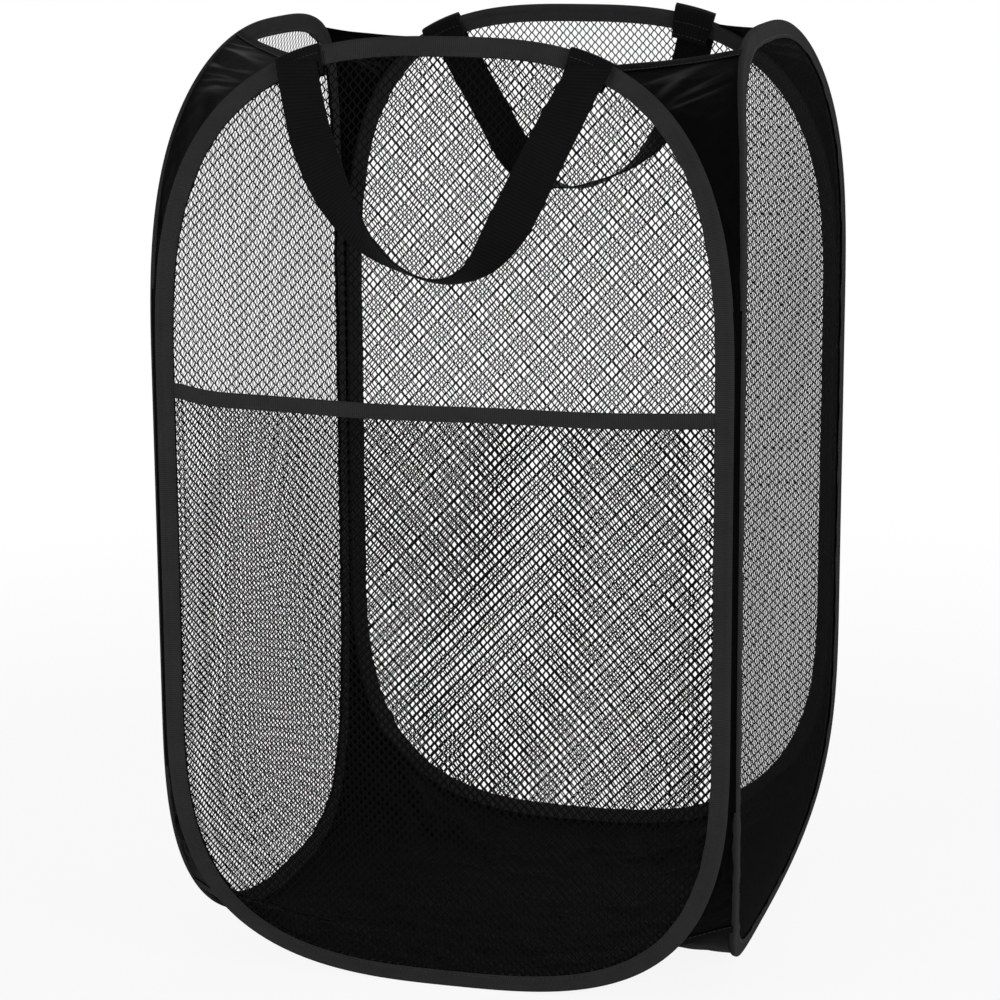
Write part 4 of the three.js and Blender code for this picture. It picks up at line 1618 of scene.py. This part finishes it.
@dataclass
class Floor:
    """The cloth floor: a wedge for each panel, and a gore under them at each corner that a joint turns."""

    flat_share: float = 0.5
    rise_power: float = 1.3
    cloth: float = 0.0006
    depth: float = 0.0015
    face: float = -0.0011
    lap: float = 0.004
    wrinkle: float = 0.0022
    rows: int = 44
    tip: int = 8
    gore_cloth: float = 0.0004
    gore_drop: float = 0.0006
    gore_reach: float = 0.09
    gore_first: float = 0.32
    gore_less: float = 0.27
    kept: float = 0.52

    def edge(self, side: Side) -> Array:
        """The part of the floor's edge that is sewn along one panel's foot, inside its tape.

        Args:
            side: The panel.

        Returns:
            The edge's points.
        """
        shares = FOOT_SHARES[Corner((side.value - 1) % 4)][1], FOOT_SHARES[Corner(side.value)][0]
        runs = [eased(np.linspace(share, 1, 26)) * math.pi / 2 for share in shares]
        stations = np.concatenate([HOOP.arc(runs[0], -1, End.FOOT), HOOP.arc(runs[1], 1, End.FOOT)[-2::-1]])
        return turned(HOOP.across(stations, self.depth, self.face), side.value)

    def rim(self, side: Side) -> Array:
        """One panel's part of the floor's edge, from one corner's middle to the next.

        Args:
            side: The panel.

        Returns:
            The edge's points.
        """
        edge = self.edge(side)
        before, after = self.edge(Side((side.value - 1) % 4)), self.edge(Side((side.value + 1) % 4))
        share = np.linspace(0, 1, self.tip + 1)[1:, None]
        lap = 1 + self.lap * np.clip(share * 4, 0, 1) * [1, 1, 0]
        first = (edge[0] * (1 - share / 2) + before[-1] * share / 2) * lap
        last = (edge[-1] * (1 - share / 2) + after[0] * share / 2) * lap
        return np.concatenate([first[::-1], edge, last])

    def outlying(self, first: Array | float) -> Array:
        """How far out each row of the floor's points lies in each column, from a first share to 1."""
        return first + (1 - first) * np.linspace(0, 1, self.rows)[:, None, None]

    def surface(self, rim: Array, share: Array) -> Array:
        """The floor's middle points at given shares of the way from its middle out to its edge's points.

        Args:
            rim: The edge's points.
            share: The shares.

        Returns:
            The points, by rows and columns.
        """
        lift = np.clip((share - self.flat_share) / (1 - self.flat_share), 0, None) ** self.rise_power
        base = self.cloth / 2
        grid = rim * share * [1, 1, 0]
        folds = noise_at(grid, 24.0, 4.0) + 0.5 * noise_at(grid, 61.0, 9.0)
        ridge = np.clip(1 - 2.2 * np.abs(folds), 0, None) ** 1.5
        low = base + 0.0001 + self.gore_drop
        grid[..., 2] = low + (rim[..., 2] - base) * lift[..., 0] + self.wrinkle * ridge * (
            0.25 + 0.75 * eased(share[..., 0] * 1.5)) * eased((1 - share[..., 0]) * 8)
        return grid

    def wedge(self, side: Side) -> Object:
        """One panel's wedge, which leaves the corners' tips to the gores where there are any.

        Args:
            side: The panel.

        Returns:
            The wedge.
        """
        share = self.outlying(0.004)
        rim = np.repeat(self.rim(side)[None], self.rows, 0)
        first, last = rim[:, :self.tip], rim[:, -self.tip:]
        pull = 0.93 * eased(2 * share - 1)
        if side is not Side.BACK:
            first += (rim[:, self.tip, None] - first) * pull
        if side is not Side.RIGHT:
            last += (rim[:, -self.tip - 1, None] - last) * pull
        return dress(sheeted(f"floor_wedge_{side.word}", self.surface(rim, share), self.cloth), BODY_CLOTH)

    def gore(self, corner: Corner) -> Object:
        """The cloth that fills a corner between two wedges, from the middle of one panel to the next one's.

        Args:
            corner: The corner.

        Returns:
            The gore.
        """
        before, after = (self.rim(side) for side in corner.sides)
        middle = len(before) // 2
        rim = np.concatenate([before[middle:], after[1:middle + 1]])
        flat = np.sort(np.abs(rim[:, :2]), -1)
        away = 1 - flat[:, :1] / flat[:, 1:]
        grid = self.surface(rim[None], self.outlying((self.gore_first + self.gore_less * away**0.8)[None]))
        lowered = grid - [0, 0, self.gore_drop]
        made = dress(sheeted(f"floor_gore_{corner.word}", lowered, self.gore_cloth), BODY_CLOTH)
        [f"binding_{side.word}" for side in corner.sides]
        bent_round(made, corner, self.gore_reach)
        return made

    def build(self) -> list[Object]:
        """Build the wedges, fix each to its own panel, and put the gores under them.

        Returns:
            What was built.
        """
        done = []
        for side in Side:
            made = self.wedge(side)
            f"binding_{side.word}"
            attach(made, side.body)
            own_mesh(made)
            done.append(made)
        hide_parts("floor_cloth")
        return done + [self.gore(corner) for corner in Corner if corner is not Corner.BACK_RIGHT]


@dataclass
class Studio:
    """The photograph's viewing angle, a pale floor and soft light."""

    place: tuple[float, float, float] = (0.5034, -1.8250, 0.6921)
    yaw: float = 15.8
    pitch: float = -12.64
    roll: float = -0.3
    lens_pixels: float = 3049.0
    image: float = 1000.0
    sensor: float = 36.0

    def camera(self) -> None:
        """Set up the camera."""
        yaw, pitch, roll = (math.radians(v) for v in (self.yaw, self.pitch, self.roll))
        ahead = Vector((-math.sin(yaw) * math.cos(pitch), math.cos(yaw) * math.cos(pitch), math.sin(pitch)))
        level = Vector((math.cos(yaw), math.sin(yaw), 0))
        above = level.cross(ahead)
        right = level * math.cos(roll) + above * math.sin(roll)
        up = above * math.cos(roll) - level * math.sin(roll)
        data = bpy.data.cameras.new("camera")
        data.sensor_fit = "HORIZONTAL"
        data.sensor_width = self.sensor
        data.lens = self.sensor * self.lens_pixels / self.image
        data.clip_end = 50
        made = linked("camera", data)
        turn = Matrix((right, up, -ahead)).transposed()
        made.matrix_world = Matrix.Translation(self.place) @ turn.to_4x4()
        bpy.context.scene.camera = made

    def seen_white(self, tree: Tree) -> Node:
        """1 for what the camera sees, directly, in a reflection or through glass, and else 0.

        Args:
            tree: The node tree.

        Returns:
            The node that gives it.
        """
        rays = node(tree, "ShaderNodeLightPath").outputs
        first = node(tree, "ShaderNodeMath", {0: rays["Is Camera Ray"], 1: rays["Is Glossy Ray"]},
                     operation="MAXIMUM")
        return node(tree, "ShaderNodeMath", {0: first, 1: rays["Is Transmission Ray"]}, operation="MAXIMUM")

    def world(self) -> None:
        """A plain white surround that lights the object softly."""
        world = bpy.data.worlds.new("soft_white")
        tree = emptied(world)
        ahead = node(tree, "ShaderNodeTexCoord").outputs["Generated"]
        height = node(tree, "ShaderNodeSeparateXYZ", {0: ahead}).outputs[2]
        level = node(tree, "ShaderNodeMapRange", {
            "Value": height, "From Min": 0.0, "From Max": 0.5, "To Min": 0.95, "To Max": 0.12})
        glow = node(tree, "ShaderNodeBackground", {"Color": linear("#ffffff"), "Strength": level})
        white = node(tree, "ShaderNodeBackground", {"Color": linear("#ffffff"), "Strength": 1.0})
        mix = node(tree, "ShaderNodeMixShader", {0: self.seen_white(tree), 1: glow, 2: white})
        node(tree, "ShaderNodeOutputWorld", {"Surface": mix})
        bpy.context.scene.world = world

    def floor(self) -> None:
        """A wide pale floor that keeps the object's shadow."""
        mesh = bpy.data.meshes.new("studio_floor")
        mesh.from_pydata([(-9, -9, 0), (9, -9, 0), (9, 9, 0), (-9, 9, 0)], [], [(0, 1, 2, 3)])
        paper = bpy.data.materials.new("white_paper_sweep")
        tree = emptied(paper)
        matt = node(tree, "ShaderNodeBsdfDiffuse", {"Color": linear("#f2f2f2")})
        lit = node(tree, "ShaderNodeEmission", {"Color": linear("#ffffff"), "Strength": 1.0})
        place = node(tree, "ShaderNodeTexCoord").outputs["Object"]
        far = node(tree, "ShaderNodeVectorMath", {0: place}, operation="LENGTH")
        plain = node(tree, "ShaderNodeMapRange", {
            "Value": far.outputs["Value"], "From Min": 0.4, "From Max": 1.3, "To Min": 0.9, "To Max": 1.0},
            interpolation_type="SMOOTHSTEP")
        share = node(tree, "ShaderNodeMath", {0: self.seen_white(tree), 1: plain}, operation="MULTIPLY")
        mix = node(tree, "ShaderNodeMixShader", {0: share, 1: matt, 2: lit})
        node(tree, "ShaderNodeOutputMaterial", {"Surface": mix})
        mesh.materials.append(paper)
        linked("studio_floor", mesh)

    def lamp(self, name: str, place: tuple, aim: tuple, size: float, watts: float) -> None:
        """Hang a soft square lamp.

        Args:
            name: Its name.
            place: Where it hangs.
            aim: The point it faces.
            size: The length of its side.
            watts: Its power.
        """
        data = bpy.data.lights.new(name, "AREA")
        data.shape = "SQUARE"
        data.size = size
        data.energy = watts
        made = linked(name, data)
        made.location = place
        made.rotation_euler = (Vector(aim) - Vector(place)).to_track_quat("-Z", "Y").to_euler()

    def build(self) -> None:
        """Set up the whole studio."""
        self.camera()
        self.world()
        self.floor()
        self.lamp("key", (-1.8, -1.9, 1.1), (0, 0, 0.3), 1.4, 34)
        self.lamp("fill", (2.3, -1.1, 0.9), (0, 0, 0.3), 1.6, 34)
        self.lamp("rear", (0.4, 2.3, 1.2), (0, 0, 0.4), 1.4, 16)
        bpy.context.scene.view_settings.view_transform = "Standard"


def main() -> None:
    """Build the hamper, sub-assembly by sub-assembly, in its studio."""
    logging.basicConfig(level=logging.INFO, format="%(name)s: %(message)s")
    Studio().build()
    parts = [Panel(side) for side in Side]
    parts.append(Pocket())
    parts.append(Handle(Side.FRONT, 0.120, FRONT_TWIST))
    parts.append(Handle(Side.BACK, 0.108, BACK_TWIST, shift=0.010, lofts=(0.004, 0.001)))
    parts += [Gusset(corner, End.FOOT, last_shares=tuple(v + FOOT_LAP for v in FOOT_SHARES[corner]))
              for corner in Corner]
    parts += [Gusset(corner, End.TOP, last_shares=HEM_SHARES[corner], crease_highlight=CREASE_HIGHLIGHT.get(corner, 0.2))
              for corner in Corner]
    parts += [CornerSeam(corner) for corner in Corner]
    parts.append(Floor())
    for part in parts:
        for made in part.build():
            LOG.info("%s: %d faces", made.name, len(made.data.polygons))


if __name__ == "__main__":
    main()
